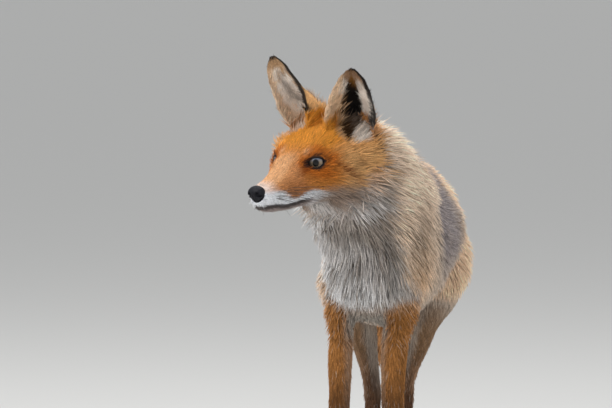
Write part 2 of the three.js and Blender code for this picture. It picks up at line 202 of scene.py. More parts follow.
@dataclass
class Shell:
    """Points and triangles of a surface, with the normals of its points."""

    points: Array
    triangles: Array

    def facing_out(self) -> "Shell":
        """The same shell with its faces turned outwards."""
        a, b, c = (self.points[self.triangles[:, i]] for i in range(3))
        volume = np.einsum("ij,ij->i", a, np.cross(b, c)).sum()
        return self if volume > 0 else Shell(self.points, self.triangles[:, ::-1])

    def face_normals(self) -> Array:
        """Each triangle's normal, as long as twice its area."""
        a, b, c = (self.points[self.triangles[:, i]] for i in range(3))
        return np.cross(b - a, c - a)

    def gather(self, values: Array) -> Array:
        """Add what each triangle holds onto its three points."""
        total = np.zeros((len(self.points), 3))
        for corner in range(3):
            for axis in range(3):
                index = self.triangles[:, corner]
                total[:, axis] += np.bincount(index, values[:, axis], len(self.points))
        return total

    def normals(self, rounds: int = 0) -> Array:
        """Point normals.

        Args:
            rounds: How many times to even them out with their neighbours.

        Returns:
            One unit normal for each point.
        """
        found = unit(self.gather(self.face_normals()))
        for _ in range(rounds):
            mean = sum(found[self.triangles[:, i]] for i in range(3)) / 3.0
            found = unit(self.gather(mean))
        return found

    def tree(self) -> BVHTree:
        """A search tree over the triangles."""
        return BVHTree.FromPolygons(self.points.tolist(), self.triangles.tolist())


def joined(shells: list[Shell]) -> Shell:
    """Several shells as one."""
    starts = np.cumsum([0] + [len(s.points) for s in shells[:-1]])
    return Shell(
        np.vstack([s.points for s in shells]),
        np.vstack([s.triangles + start for s, start in zip(shells, starts)]),
    )


def node_shell(names: list[str]) -> Shell:
    """The triangles of these CAD nodes."""
    shells = []
    for name in names:
        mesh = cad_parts[name].data
        mesh.calc_loop_triangles()
        points = np.zeros(len(mesh.vertices) * 3, np.float32)
        mesh.vertices.foreach_get("co", points)
        triangles = np.zeros(len(mesh.loop_triangles) * 3, np.int32)
        mesh.loop_triangles.foreach_get("vertices", triangles)
        shells.append(Shell(points.reshape(-1, 3), triangles.reshape(-1, 3)))
    return joined(shells)


def node_middle(name: str) -> Array:
    """The middle of a CAD node's box."""
    low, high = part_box(name)
    return np.array((low + high) / 2)


def new_piece(name: str, shell: Shell, material: Material) -> Object:
    """Make a smooth mesh object that rides on the body.

    Args:
        name: The piece's name.
        shell: Its surface.
        material: Its finish.

    Returns:
        The object, linked to the scene.
    """
    mesh = bpy.data.meshes.new(name)
    count = len(shell.triangles)
    mesh.vertices.add(len(shell.points))
    mesh.vertices.foreach_set("co", shell.points.astype(np.float32).ravel())
    mesh.loops.add(count * 3)
    mesh.loops.foreach_set("vertex_index", shell.triangles.astype(np.int32).ravel())
    mesh.polygons.add(count)
    mesh.polygons.foreach_set("loop_start", np.arange(count, dtype=np.int32) * 3)
    mesh.polygons.foreach_set("use_smooth", np.ones(count, bool))
    mesh.update(calc_edges=True)
    mesh.materials.append(material)
    piece = bpy.data.objects.new(name, mesh)
    bpy.context.scene.collection.objects.link(piece)
    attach(piece, BODY)
    LOG.info("%s: %d triangles", name, count)
    return piece


def soften(piece: Object, normals: Array) -> None:
    """Shade a piece by these normals, one for each point."""
    piece.data.normals_split_custom_set_from_vertices(normals.astype(np.float32).tolist())


def paint_points(piece: Object, colours: Array) -> None:
    """Store a linear colour on every point of a piece."""
    layer = piece.data.color_attributes.new(COLOUR_NAME, "FLOAT_COLOR", "POINT")
    rgba = np.ones((len(colours), 4), np.float32)
    rgba[:, :3] = np.clip(colours, 0.0, 1.0)
    layer.data.foreach_set("color", rgba.ravel())


# ---------------------------------------------------------------- blocks of distance


@dataclass
class Block:
    """Signed distances in metres, negative inside, on a regular grid of this step.

    The first grid point lies at low, counted in steps from the world's origin.
    """

    MARGIN = 6

    values: Array
    low: Array
    cell: float

    @classmethod
    def around(cls, shell: Shell, cell: float, band: int) -> "Block":
        """Measure the distance to a closed shell.

        Args:
            shell: The surface.
            cell: The grid's step, in metres.
            band: How many steps from the surface the distances stay true.

        Returns:
            The block, a little larger than the shell.
        """
        transform = openvdb.createLinearTransform(voxelSize=cell)
        grid = openvdb.FloatGrid.createLevelSetFromPolygons(
            shell.points.astype(np.float32),
            triangles=shell.triangles.astype(np.uint32),
            transform=transform,
            halfWidth=band,
        )
        low = np.floor(shell.points.min(0) / cell).astype(int) - cls.MARGIN
        high = np.ceil(shell.points.max(0) / cell).astype(int) + cls.MARGIN
        values = np.full(tuple(high - low + 1), band * cell, np.float32)
        grid.copyToArray(values, ijk=tuple(int(i) for i in low))
        return cls(values, low, cell)

    @classmethod
    def empty(cls, low: Array, high: Array, cell: float) -> "Block":
        """A block of plain outside between two corners."""
        first = np.floor(low / cell).astype(int)
        last = np.ceil(high / cell).astype(int)
        return cls(np.full(tuple(last - first + 1), 1.0, np.float32), first, cell)

    def evened(self, reach: float, rounds: int = 2) -> Array:
        """The distances averaged over a box.

        Args:
            reach: Half the box's side, in metres.
            rounds: How many times.

        Returns:
            The softened distances.
        """
        steps = max(1, round(reach / self.cell))
        values = self.values
        for _ in range(rounds):
            for axis in range(3):
                moved = np.moveaxis(values, axis, 0)
                edges = [(steps + 1, steps)] + [(0, 0)] * 2
                total = np.cumsum(np.pad(moved, edges, mode="edge"), axis=0, dtype=np.float32)
                mean = (total[2 * steps + 1 :] - total[: -2 * steps - 1]) / (2 * steps + 1)
                values = np.moveaxis(mean, 0, axis)
        return np.ascontiguousarray(values, np.float32)

    def places(self, window: Window | None = None) -> list[Array]:
        """The world x, y and z of the grid points, each shaped so that they broadcast."""
        window = window or (slice(None),) * 3
        found = []
        for axis in range(3):
            line = (np.arange(self.values.shape[axis]) + self.low[axis]) * self.cell
            shape = [1, 1, 1]
            shape[axis] = -1
            found.append(line[window[axis]].astype(np.float32).reshape(shape))
        return found

    def window(self, middle: Array, reach: float) -> Window:
        """The part of the grid within a cube.

        Args:
            middle: The cube's middle, in metres.
            reach: Half its side.

        Returns:
            A slice for each axis.
        """
        start = np.floor((middle - reach) / self.cell).astype(int) - self.low
        stop = np.ceil((middle + reach) / self.cell).astype(int) - self.low
        top = np.array(self.values.shape)
        start, stop = np.clip(start, 0, top), np.clip(stop, 0, top)
        return tuple(slice(int(a), int(b)) for a, b in zip(start, stop))

    def local(self, frame: LocalFrame, window: Window | None = None) -> list[Array]:
        """The x, y and z of a window's grid points, in a local frame's millimetres."""
        place = self.places(window)
        offset = [place[i] - frame.origin[i] for i in range(3)]
        return [sum(offset[i] * frame.axes[i, j] for i in range(3)) / MM for j in range(3)]

    def surface(self, level: float, adaptivity: float) -> Shell:
        """The surface at one distance.

        Args:
            level: The distance, in metres.
            adaptivity: 0 keeps every cell; more joins flat neighbours.

        Returns:
            The surface in triangles.
        """
        grid = openvdb.FloatGrid(float(self.values.max()))
        grid.copyFromArray(self.values, ijk=tuple(int(i) for i in self.low))
        grid.transform = openvdb.createLinearTransform(voxelSize=self.cell)
        points, triangles, quads = grid.convertToPolygons(isovalue=level, adaptivity=adaptivity)
        halves = [triangles, quads[:, [0, 1, 2]], quads[:, [0, 2, 3]]]
        return Shell(points.astype(float), np.vstack(halves).astype(np.int64)).facing_out()


def soft_union(first: Array, second: Array, reach: float) -> Array:
    """Two distances joined with a fillet of about this reach."""
    share = np.clip(0.5 + 0.5 * (second - first) / reach, 0.0, 1.0)
    return second + (first - second) * share - reach * share * (1.0 - share)


@dataclass(frozen=True)
class Mass:
    """A rounded mass, by its middle and half sizes in millimetres."""

    middle: Place
    half: Place

    def distance(self, x: Array, y: Array, z: Array) -> Array:
        """About how far outside the mass a place is."""
        parts = zip((x, y, z), self.middle, self.half)
        reach = np.sqrt(sum(((value - middle) / half) ** 2 for value, middle, half in parts))
        return (reach - 1.0) * min(self.half)


EAR_BOWL = Mass((3.5, 45.0, 31.0), (18.0, 18.0, 17.0))


# ---------------------------------------------------------------- the fox's own frames


@dataclass(frozen=True)
class HeadPlan:
    """Where the head and its features lie, in the head frame's millimetres."""

    turn: float = -27.0
    tilt: float = 5.0
    eye: Place = (20.5, 6.0, -0.5)
    eye_radius: float = 9.0
    eye_outwards: float = 30.0
    nose: Place = (0.0, -73.0, -24.0)
    ear_root: dict = per_side((35.0, 47.0, 12.0), (-27.0, 47.0, 12.0))
    ear_tip: dict = per_side((51.0, 33.0, 91.0), (-48.0, 33.0, 102.0))
    ear_width: dict = per_side(51.0, 56.0)
    ear_outwards: dict = per_side(22.0, 12.0)
    ear_root_outwards: float = 42.0

    def frame(self) -> LocalFrame:
        """The head's frame, hung on the two eye nodes."""
        axes = turned(self.turn, "Z") @ turned(self.tilt, "X")
        between = (node_middle("eye_left") + node_middle("eye_right")) / 2
        origin = between - axes @ np.array([0.0, self.eye[1], self.eye[2]]) * MM
        return LocalFrame(origin, axes)

    def eye_frame(self, head: LocalFrame, side: float) -> LocalFrame:
        """An eye's frame: +X to its outer corner, +Y out along its look, +Z up.

        Args:
            head: The head's frame.
            side: LEFT or RIGHT.

        Returns:
            The frame, with its origin at the eyeball's middle.
        """
        lean = math.radians(self.eye_outwards)
        look = np.array([side * math.sin(lean), -math.cos(lean), 0.0])
        outer = np.array([side * math.cos(lean), math.sin(lean), 0.0])
        up = np.array([0.0, 0.0, 1.0])
        axes = np.column_stack([head.out(outer), head.out(look), head.out(up)])
        middle = head.to_world(np.array([side * self.eye[0], self.eye[1], self.eye[2]]))
        return LocalFrame(middle, axes)


@dataclass(frozen=True)
class Almond:
    """The opening between an eye's lids, seen along its look, in millimetres."""

    half_width: float = 8.9
    top: float = 5.4
    bottom: float = 5.4
    slant: float = 8.0
    drop: float = 0.8

    def edge_distance(self, across: Array, up: Array) -> Array:
        """About how far a place is outside the lids' edge; negative in the opening."""
        angle = math.radians(self.slant)
        level = up + self.drop
        x = across * math.cos(angle) + level * math.sin(angle)
        z = level * math.cos(angle) - across * math.sin(angle)
        arch = np.sqrt(np.clip(1.0 - (x / self.half_width) ** 2, 0.0, 1.0))
        upper = z - self.top * arch**1.15
        lower = -z - self.bottom * arch**1.25
        beyond = (np.abs(x) - self.half_width) * 0.9
        return np.where(beyond > 0, np.hypot(beyond, z), np.maximum(upper, lower) * 0.92)

    def rim(self, count: int) -> Array:
        """Points round the opening's edge, from the outer corner over the top."""
        turn = np.linspace(0.0, 2 * math.pi, count, endpoint=False)
        x = self.half_width * np.cos(turn)
        arch = np.abs(np.sin(turn))
        z = np.where(turn < math.pi, self.top * arch**1.15, -self.bottom * arch**1.25)
        angle = math.radians(self.slant)
        across = x * math.cos(angle) - z * math.sin(angle)
        up = z * math.cos(angle) + x * math.sin(angle) - self.drop
        return np.column_stack([across, up])


HEAD_PLAN = HeadPlan()
HEAD = HEAD_PLAN.frame()
EYES = {side: HEAD_PLAN.eye_frame(HEAD, side) for side in SIDES}
LIDS = Almond()


@dataclass(frozen=True)
class EarPlace:
    """Where points lie on one ear: along it, across it, and on which face."""

    side: float

    def measure(self, local: Array, facing: Array) -> tuple[Array, Array, Array]:
        """Measure points against the ear.

        Args:
            local: Points in the head frame's millimetres.
            facing: Their normals in the head frame.

        Returns:
            Height from 0 at the root to 1 at the tip, place across from -1 to 1 with the
            outer edge positive, and a face from -1 on the back to 1 inside the cup.
        """
        root = np.array(HEAD_PLAN.ear_root[self.side])
        tip = np.array(HEAD_PLAN.ear_tip[self.side])
        axis = unit(tip - root)
        height = (local - root) @ axis / np.linalg.norm(tip - root)
        end = HEAD_PLAN.ear_outwards[self.side]
        start = HEAD_PLAN.ear_root_outwards
        angle = np.radians(start + (end - start) * np.clip(2 * height, 0, 1))
        out = np.column_stack([self.side * np.sin(angle), -np.cos(angle), 0 * angle])
        out = unit(out - (out @ axis)[:, None] * axis)
        across = self.side * np.cross(axis, out)
        level = np.clip(height, 0, 1)
        taper = np.clip(1 - level**3, 0.02, 1) ** 0.8 * (1 - 0.3 * (1 - level) ** 3)
        offset = local - root - ((local - root) @ axis)[:, None] * axis
        half = HEAD_PLAN.ear_width[self.side] / 2 * taper + 1.2
        place = np.einsum("ij,ij->i", offset, across) / half
        face = np.einsum("ij,ij->i", facing, out)
        return height, place, face


# ---------------------------------------------------------------- rules of the coat


class Zone(Enum):
    """The parts of the coat that are laid as pieces of their own: label and slot."""

    FACE = "face", "coat_fur"
    EARS = "ears", "ear_fur"
    NECK = "neck", "coat_fur"
    CHEST = "chest", "bib_fur"
    TRUNK = "trunk", "coat_fur"
    REAR = "rear", "coat_fur"
    FORELEGS = "forelegs", "leg_fur"
    HINDLEGS = "hindlegs", "leg_fur"
    TAIL = "tail", "tail_fur"


@dataclass(frozen=True)
class CoatRule:
    """How the coat grows on one node, in millimetres."""

    zone: Zone
    depth: float
    length: float
    width: float
    flow: Place
    clump: float = 0.0


def between(first: str, second: str) -> Place:
    """The direction from one node's middle to another's."""
    return tuple(unit(node_middle(second) - node_middle(first)))


DOWN = (0.0, 0.08, -1.0)
TAIL_STOPS = (111, 155, 197, 241, 291, 342, 389, 427, 441)
TAIL_HALVES = (23, 31, 42, 49, 51, 46, 34, 16, 9)
TO_TOES = (0.0, -0.8, -0.6)


def coat_rules() -> dict[str, CoatRule]:
    """The rule of every node of flesh."""
    rules = {
        "head": CoatRule(Zone.FACE, 2.4, 9, 0.95, (0, 1, 0)),
        "jaw": CoatRule(Zone.FACE, 0.9, 4.5, 0.7, (0, 1, 0)),
        "neck": CoatRule(Zone.NECK, 15, 34, 1.5, (0.3, 0.9, -0.5), 0.45),
        "chest": CoatRule(Zone.CHEST, 16, 36, 1.6, (0, 0.1, -1), 0.55),
        "loin": CoatRule(Zone.TRUNK, 11, 30, 1.6, (0, 0.95, -0.3), 0.4),
        "rump": CoatRule(Zone.REAR, 11, 30, 1.6, (0, 0.88, -0.45), 0.4),
        "tail_root": CoatRule(Zone.TAIL, 15, 36, 1.9, between("tail_root", "tail_middle"), 0.4),
        "tail_middle": CoatRule(Zone.TAIL, 27, 58, 2.2, between("tail_root", "tail_tip"), 0.45),
        "tail_tip": CoatRule(Zone.TAIL, 23, 52, 2.1, between("tail_middle", "tail_tip"), 0.5),
    }
    for side in ("left", "right"):
        rules[f"ear_{side}"] = CoatRule(Zone.EARS, 0.7, 5, 0.8, (0, 0, 1))
        rules[f"shoulder_{side}"] = CoatRule(Zone.TRUNK, 9, 26, 1.5, (0, 0.6, -0.8), 0.35)
        rules[f"thigh_{side}"] = CoatRule(Zone.REAR, 8, 24, 1.5, (0, 0.5, -0.85), 0.35)
        rules[f"forearm_{side}"] = CoatRule(Zone.FORELEGS, 2.2, 9.5, 1.1, DOWN)
        rules[f"shank_{side}"] = CoatRule(Zone.HINDLEGS, 3.2, 12, 1.2, DOWN)
        rules[f"hindfoot_{side}"] = CoatRule(Zone.HINDLEGS, 1.6, 8, 1, DOWN)
        rules[f"forepaw_{side}"] = CoatRule(Zone.FORELEGS, 1.1, 5.5, 0.9, TO_TOES)
        rules[f"hindpaw_{side}"] = CoatRule(Zone.HINDLEGS, 1.1, 5.5, 0.9, TO_TOES)
    return rules


def bowl_distance(local: Array, side: float) -> Array:
    """How far a place in the head frame is outside the bowl at an ear's root."""
    across = (local[:, 0] - HEAD_PLAN.ear_root[side][0]) * side
    return EAR_BOWL.distance(across, local[:, 1], local[:, 2])


class CoatMap:
    """The rules of the coat, blended smoothly through space from node to node."""

    STEP = 8 * MM
    REACH = 10 * MM
    ROOM = 30 * MM
    NAMES = ("depth", "length", "width", "clump")
    FORELEG_COAT = (2.4, 10.0, 1.0, 0.0)
    BREAST_COAT = (4.2, 12.0, 1.0, 0.0)
    HINDLEG_COAT = (3.2, 12.0, 1.2, 0.0)

    def __init__(self) -> None:
        """Look up the nearest node on a coarse grid and blend its rule with its neighbours'."""
        self.rules = coat_rules()
        self.names = sorted(self.rules)
        self.tree, self.owner = self._tree()
        low, high = (np.array(v) for v in CAD_BOX)
        low, high = low - self.ROOM, high + self.ROOM
        self.low = low
        self.shape = tuple(np.ceil((high - low) / self.STEP).astype(int) + 1)
        spots = np.stack(np.meshgrid(*[np.arange(n) for n in self.shape], indexing="ij"), -1)
        points = spots.reshape(-1, 3) * self.STEP + low
        values = self._values(points, self.nearest(points))
        block = values.reshape(self.shape + (values.shape[1],))
        self.values = np.stack([self._blend(block[..., i]) for i in range(block.shape[-1])], -1)

    def _tree(self) -> tuple[BVHTree, Array]:
        """A search tree over the nodes of flesh, and the node of each of its faces."""
        shells = [node_shell([name]) for name in self.names]
        owner = np.repeat(np.arange(len(shells)), [len(s.triangles) for s in shells])
        return joined(shells).tree(), owner

    def nearest(self, points: Array) -> Array:
        """The number of the nearest node for each point."""
        return np.array([self.owner[self.tree.find_nearest(p)[2]] for p in points.tolist()])

    def on(self, nodes: Array, *starts: str) -> Array:
        """Whether each node's name starts in one of these ways."""
        return np.isin(nodes, [i for i, n in enumerate(self.names) if n.startswith(starts)])

    def _values(self, points: Array, nodes: Array) -> Array:
        """The rules at points on the grid, shorter down the legs and fuller along the tail.

        Args:
            points: The points.
            nodes: The number of the node that each belongs to.

        Returns:
            Depth, length, width, clump and flow, in millimetres and shares.
        """
        rules = [self.rules[name] for name in self.names]
        table = np.array([[getattr(r, n) for n in self.NAMES] + list(r.flow) for r in rules])
        values = table[nodes]
        _, y, z = (points / MM).T
        on_head, on_tail = self.on(nodes, "head", "jaw"), self.on(nodes, "tail")
        values[on_head] = self._head_values(points[on_head], values[on_head])
        front = (y < -120.0) & (z < 280.0) & ~on_head
        arm = self.on(nodes, "forearm")[front, None]
        short = np.where(arm, self.FORELEG_COAT, self.BREAST_COAT)
        self._shorten(values, front, short, ramp(225, 272, z[front]))
        rear = (y > -20.0) & (z < 300.0) & ~on_tail
        self._shorten(values, rear, np.array(self.HINDLEG_COAT), ramp(185, 292, z[rear]))
        half = np.interp(y[on_tail], TAIL_STOPS, TAIL_HALVES)
        values[on_tail, 0] = 0.52 * half
        values[on_tail, 1] = 0.95 * half + 12.0
        on_chest = self.on(nodes, "chest")
        values[on_chest, 4] = (points[on_chest, 0] - node_middle("chest")[0]) * 9.0
        return values

    @staticmethod
    def _shorten(values: Array, chosen: Array, short: Array, share: Array) -> None:
        """Bring the chosen rows' coat down to a short one, and leave it where share is 1."""
        values[chosen, :4] = short + (values[chosen, :4] - short) * share[:, None]

    def _head_values(self, points: Array, values: Array) -> Array:
        """The head's coat: short on the muzzle, longer and lying back towards the ruff."""
        local = HEAD.to_local(points)
        _, y, z = local.T
        back = ramp(-45, 70, y)
        cheek = ramp(10, 55, y) * ramp(8, -22, z)
        values[:, 0] = 0.7 + 2.6 * back + 6.5 * cheek
        values[:, 1] = 3.6 + 7.0 * back + 13.0 * cheek + 9.0 * ramp(36, 78, y)
        values[:, 2] = 0.5 + 0.3 * back + 0.35 * cheek
        values[:, 3] = 0.1 + 0.35 * cheek
        from_nose = local - np.array([0.0, -96.0, -18.0])
        from_nose[:, 2] -= 10.0 * cheek + 14.0 * ramp(-10, 30, y) * ramp(-10, -35, z)
        flow = unit(from_nose)
        for side in SIDES:
            share = ramp(10, -4, bowl_distance(local, side))
            values[:, :2] *= (1.0 - 0.6 * share)[:, None]
        values[:, 4:] = HEAD.out(flow)
        return values

    def _blend(self, block: Array) -> Array:
        """One quantity averaged with its neighbours."""
        soft = Block(block.astype(np.float32), np.zeros(3, int), self.STEP)
        return soft.evened(self.REACH, 1)

    def at(self, points: Array) -> dict[str, Array]:
        """The blended rule.

        Args:
            points: Places in the world.

        Returns:
            Depth, length and width in metres, the clump's share, and the unit flow.
        """
        place = np.clip((points - self.low) / self.STEP, 0, np.array(self.shape) - 1.001)
        total = 0.0
        for index, share in corner_shares(place):
            total = total + share[:, None] * self.values[tuple(index)]
        found = {name: total[:, i] * MM for i, name in enumerate(self.NAMES[:3])}
        found["clump"] = total[:, 3]
        found["flow"] = unit(total[:, 4:7])
        return found


# ---------------------------------------------------------------- markings


@dataclass(frozen=True)
class Palette:
    """The coat's colours."""

    crown: Array = dye(216, 142, 52)
    orange: Array = dye(206, 134, 62)
    rust: Array = dye(184, 98, 26)
    eye_rust: Array = dye(120, 58, 20)
    peach: Array = dye(222, 170, 124)
    muzzle_brown: Array = dye(194, 126, 74)
    white: Array = dye(244, 246, 252)
    bib: Array = dye(248, 246, 246)
    # Brown-grey for the bib: its undertone in random patches, and painted shade.
    bib_undertone_and_painted_shade: Array = dye(142, 128, 116)
    cheek_tan: Array = dye(226, 174, 116)
    # Grey of the lower cheek, with painted shade in it.
    cheek_grey_and_painted_shade: Array = dye(150, 134, 122)
    chin: Array = dye(134, 112, 102)
    straw: Array = dye(244, 216, 190)
    tan: Array = dye(198, 156, 116)
    shoulder: Array = dye(228, 186, 146)
    back: Array = dye(198, 178, 160)
    blue_grey: Array = dye(121, 116, 124)
    belly: Array = dye(206, 198, 188)
    rump: Array = dye(250, 211, 176)
    leg: Array = dye(172, 116, 62)
    leg_grey: Array = dye(126, 98, 70)
    dark_brown: Array = dye(74, 46, 30)
    tail: Array = dye(202, 142, 88)
    black: Array = dye(28, 22, 20)
    ear_hair: Array = dye(244, 232, 220)
    ear_flank: Array = dye(228, 176, 118)


class Markings:
    """Where each colour lies on the fox; skin and coat both read it.

    Heights and what they go with: HOLLOW_MIDDLE and HOLLOW_HALF place the painted shade in
    the hollow of the left ear across its cup, BIB_MIDDLE and BIB_HALF the white bib across the chest.
    """

    HOLLOW_MIDDLE = ((16, 27, 40, 50, 60, 78), (-4, -1.5, 2, 3.4, 4.6, 5.6))
    HOLLOW_HALF = (
        (14, 22, 30, 40, 50, 60, 70, 82),
        (0, 5, 9.5, 12.5, 12, 9.5, 6.5, 0),
    )
    BIB_MIDDLE = ((231, 283, 325), (19, 5, -11))
    BIB_HALF = ((231, 283, 325), (43, 38, 42))

    def __init__(self, coat_map: CoatMap) -> None:
        """Fetch the places that the zones hang on.

        Args:
            coat_map: The rules of the coat, for which node is which.
        """
        self.coat_map = coat_map
        self.palette = Palette()
        self.broad = PatchNoise(3, 26)
        self.small = PatchNoise(7, 7)
        self.locks = PatchNoise(53, 7)
        self.chest = node_middle("chest") / MM
        self.tail_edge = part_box("tail_tip")[0].y / MM
        self.tail_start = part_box("tail_root")[0].y / MM

    def paint(self, points: Array, normals: Array, nodes: Array) -> Array:
        """The colour of the coat.

        Args:
            points: Places on the skin.
            normals: The skin's normals there.
            nodes: The number of the nearest node.

        Returns:
            A linear colour for each place.
        """
        colours = self._body(points, normals)
        on_head = self.coat_map.on(nodes, "head", "jaw")
        local = HEAD.to_local(points)
        face_share = ramp(84, 62, local[:, 1] + 0.35 * np.abs(local[:, 2]))
        face_share = np.where(on_head, np.maximum(face_share, 0.75), face_share)
        face_share *= ramp(-66, -50, local[:, 2])
        colours = mix(colours, self._face(points, local), face_share)
        ruff = bell(local[:, 1], 56, 22) * bell(local[:, 2], -46, 8)
        ruff = ruff * ramp(16, 28, np.abs(local[:, 0]))
        colours = mix(colours, self.palette.bib, np.clip(1.2 * ruff, 0, 1) * 0.42)
        for side, name in EARS.items():
            on_ear = self.coat_map.on(nodes, name)
            if on_ear.any():
                colours[on_ear] = self._ear(side, points[on_ear], normals[on_ear])
        return colours

    def _face(self, points: Array, local: Array) -> Array:
        """The head's markings.

        Args:
            points: Places in the world.
            local: The same places in the head frame's millimetres.

        Returns:
            A colour for each place.
        """
        p = self.palette
        wobble = (self.small.at(points) - 0.5) * 6 + (self.broad.at(points) - 0.5) * 5
        x, y, z = np.abs(local[:, 0]), local[:, 1], local[:, 2]
        colour = np.tile(p.orange, (len(points), 1))
        crown = ramp(2, 16, z) * ramp(-14, 8, y) * ramp(46, 24, x)
        colour = mix(colour, p.crown, crown)
        temple = ramp(22, 42, x + wobble) * ramp(6, 26, y) * ramp(30, -2, z)
        colour = mix(colour, p.cheek_tan, temple * 0.9)
        stripe = bell(x, 18, 8) * bell(y, -13, 16) * bell(z, -4, 11)
        colour = mix(colour, p.rust, np.clip(stripe * 1.3, 0, 1) * 0.9)
        around = self.eye_ring(points)
        colour = mix(colour, p.rust, ramp(13, 3, around + 0.5 * wobble) * 0.85)
        below = bell(x, 32, 11) * bell(y, 1, 13) * bell(z, -13, 6.5)
        colour = mix(colour, p.rust, np.clip(below * 1.2, 0, 1) * 0.75)
        bridge = ramp(-6, -24, y) * ramp(15, 7, x + 0.3 * wobble)
        colour = mix(colour, p.peach, bridge * 0.85)
        muzzle = ramp(-18, -26, y) * ramp(8, 13, x)
        colour = mix(colour, mix(p.muzzle_brown, p.peach, 0.35), muzzle * 0.8)
        patch = bell(y, -29, 17) * bell(z, -25, 9.5) * ramp(9, 14, x)
        colour = mix(colour, p.muzzle_brown * 0.9, np.clip(patch * 1.5, 0, 1) * 0.8)
        tip = ramp(-50, -70, y + 0.4 * wobble)
        colour = mix(colour, p.white, tip * 0.5)
        lip_line = -23 - 11 * bell(y, -29, 13) - 7 * ramp(-22, 10, y)
        lip = ramp(1.5, -3, z - lip_line + 0.4 * wobble)
        colour = mix(colour, p.white, lip * ramp(22, 2, y + wobble))
        # The lower cheek: a greyish tone with painted shade on the lower side of the head.
        low_cheek_grey_and_painted_shade = ramp(-21, -34, z + 0.8 * wobble) * ramp(-14, 12, y)
        colour = mix(colour, p.cheek_grey_and_painted_shade, low_cheek_grey_and_painted_shade * 0.9)
        pale = ramp(0.45, 0.7, self.broad.at(points)) * ramp(-26, -36, z)
        colour = mix(colour, p.bib, pale * ramp(-6, 8, y) * 0.6)
        back_cheek = ramp(34, 62, y) * ramp(-8, -36, z + wobble)
        colour = mix(colour, p.bib, back_cheek * 0.5)
        flecks = ramp(0.6, 0.8, self.small.at(points)) * ramp(10, 30, y) * ramp(24, 34, x)
        colour = colour * (1 - 0.35 * flecks * ramp(28, 10, z))[:, None]
        along = self._along_cup(local)
        near = ramp(5, 0.5, bowl_distance(local, LEFT) + 0.3 * wobble)
        rear = ramp(8, 12, along) * ramp(25, 21, along) * ramp(24, 32, z)
        near = np.maximum(near, rear * (local[:, 0] > 0) * (y < 66))
        lining = np.tile(p.ear_hair * 0.72, (len(points), 1))
        lining = mix(lining, p.ear_flank * 0.75, ramp(2, -4, along + wobble) * 0.85)
        # Painted shade in the hollow of the left ear's cup.
        lining = mix(lining, p.black * 0.3, self._hollow_painted_shade(local, wobble))
        colour = mix(colour, lining, near * 0.95)
        front = ramp(-4, -9, along) * ramp(-30, -22, along)
        front = front * ramp(30, 38, z + wobble) * ramp(12, 24, y) * (local[:, 0] > 0)
        colour = mix(colour, mix(p.ear_flank, p.ear_hair, 0.3) * 0.85, front * 0.8)
        far = ramp(2.5, -1, bowl_distance(local, RIGHT) + 0.3 * wobble)
        colour = mix(colour, p.ear_hair * 0.8, far * 0.8)
        return self._face_lines(points, local, colour)

    @staticmethod
    def _along_cup(local: Array) -> Array:
        """How far a place is across the left ear's cup, from its front edge outwards."""
        return 0.82 * (local[:, 0] - 34) + 0.57 * (local[:, 1] - 46)

    def _hollow_painted_shade(self, local: Array, wobble: Array) -> Array:
        """Painted shade in the left ear's hollow: narrow at its ends and widest in the middle."""
        z = local[:, 2]
        centre = np.interp(z, *self.HOLLOW_MIDDLE)
        half = np.interp(z, *self.HOLLOW_HALF)
        return ramp(1.6, -1.4, np.abs(self._along_cup(local) - centre) - half + 0.3 * wobble)

    def eye_ring(self, points: Array) -> Array:
        """How far a place is outside the nearer eye's opening, in millimetres."""
        nearest = np.full(len(points), 99)
        for side in SIDES:
            across, out, up = EYES[side].to_local(points).T
            ring = np.where(out > 0, LIDS.edge_distance(across, up), 99)
            nearest = np.minimum(nearest, np.maximum(ring, -9))
        return nearest

    def _face_lines(self, points: Array, local: Array, colour: Array) -> Array:
        """Draw the lids, brow spots, tear marks, eye lines and mouth.

        Args:
            points: Places in the world.
            local: The same places in the head frame's millimetres.
            colour: The face's colours so far.

        Returns:
            The colours with the lines on them.
        """
        p = self.palette
        x, y, z = np.abs(local[:, 0]), local[:, 1], local[:, 2]
        brow = bell(x, 14.5, 3.4) * bell(y, -6.5, 4.5) * bell(z, 9.5, 4.5)
        colour = mix(colour, p.peach, np.clip(1.2 * brow, 0, 1) * 0.75)
        line = bell(z, -1.6 - 0.84 * (y - 7.8), 2.8) * ramp(7, 10, y) * ramp(38, 26, y)
        colour = mix(colour, p.eye_rust * 0.8, line * ramp(26, 32, x) * 0.9)
        tear = bell(x, 18, 4.6) * bell(y, -11, 4.8) * bell(z, -2.2, 3.2)
        colour = mix(colour, p.black, np.clip(2.8 * tear, 0, 1) * 0.96)
        run = bell(z, -3 + 0.62 * (y + 9), 3.2) * ramp(-9, -13, y) * ramp(-30, -17, y)
        colour = mix(colour, p.eye_rust, run * ramp(11, 15, x) * 0.7)
        colour = mix(colour, p.black, ramp(3.2, 1.2, self.eye_ring(points)) * 0.97)
        mouth = self.mouth_distance(y, z)
        drop = self.mouth_height(y) - z
        front = ramp(2, -8, y)
        colour = mix(colour, p.chin, ramp(0, 1.2, drop) * front * 0.85)
        lower_lip = ramp(-0.6, 0.5, drop) * ramp(4.2, 2.6, drop) * front
        dark = np.maximum(ramp(1.6, 0.4, mouth), lower_lip) * ramp(-4, -12, y)
        return mix(colour, p.black, dark * 0.8)

    @staticmethod
    def mouth_height(y: Array) -> Array:
        """The height of the line of the mouth, at each distance behind the nose."""
        return -39.6 + 3.4 * ramp(-34, -6, y) + 2.4 * ramp(-38, -58, y)

    @staticmethod
    def mouth_distance(y: Array, z: Array) -> Array:
        """How far a place is from the line of the mouth, in millimetres."""
        return np.where(y < -2, np.abs(z - Markings.mouth_height(y)), 99)

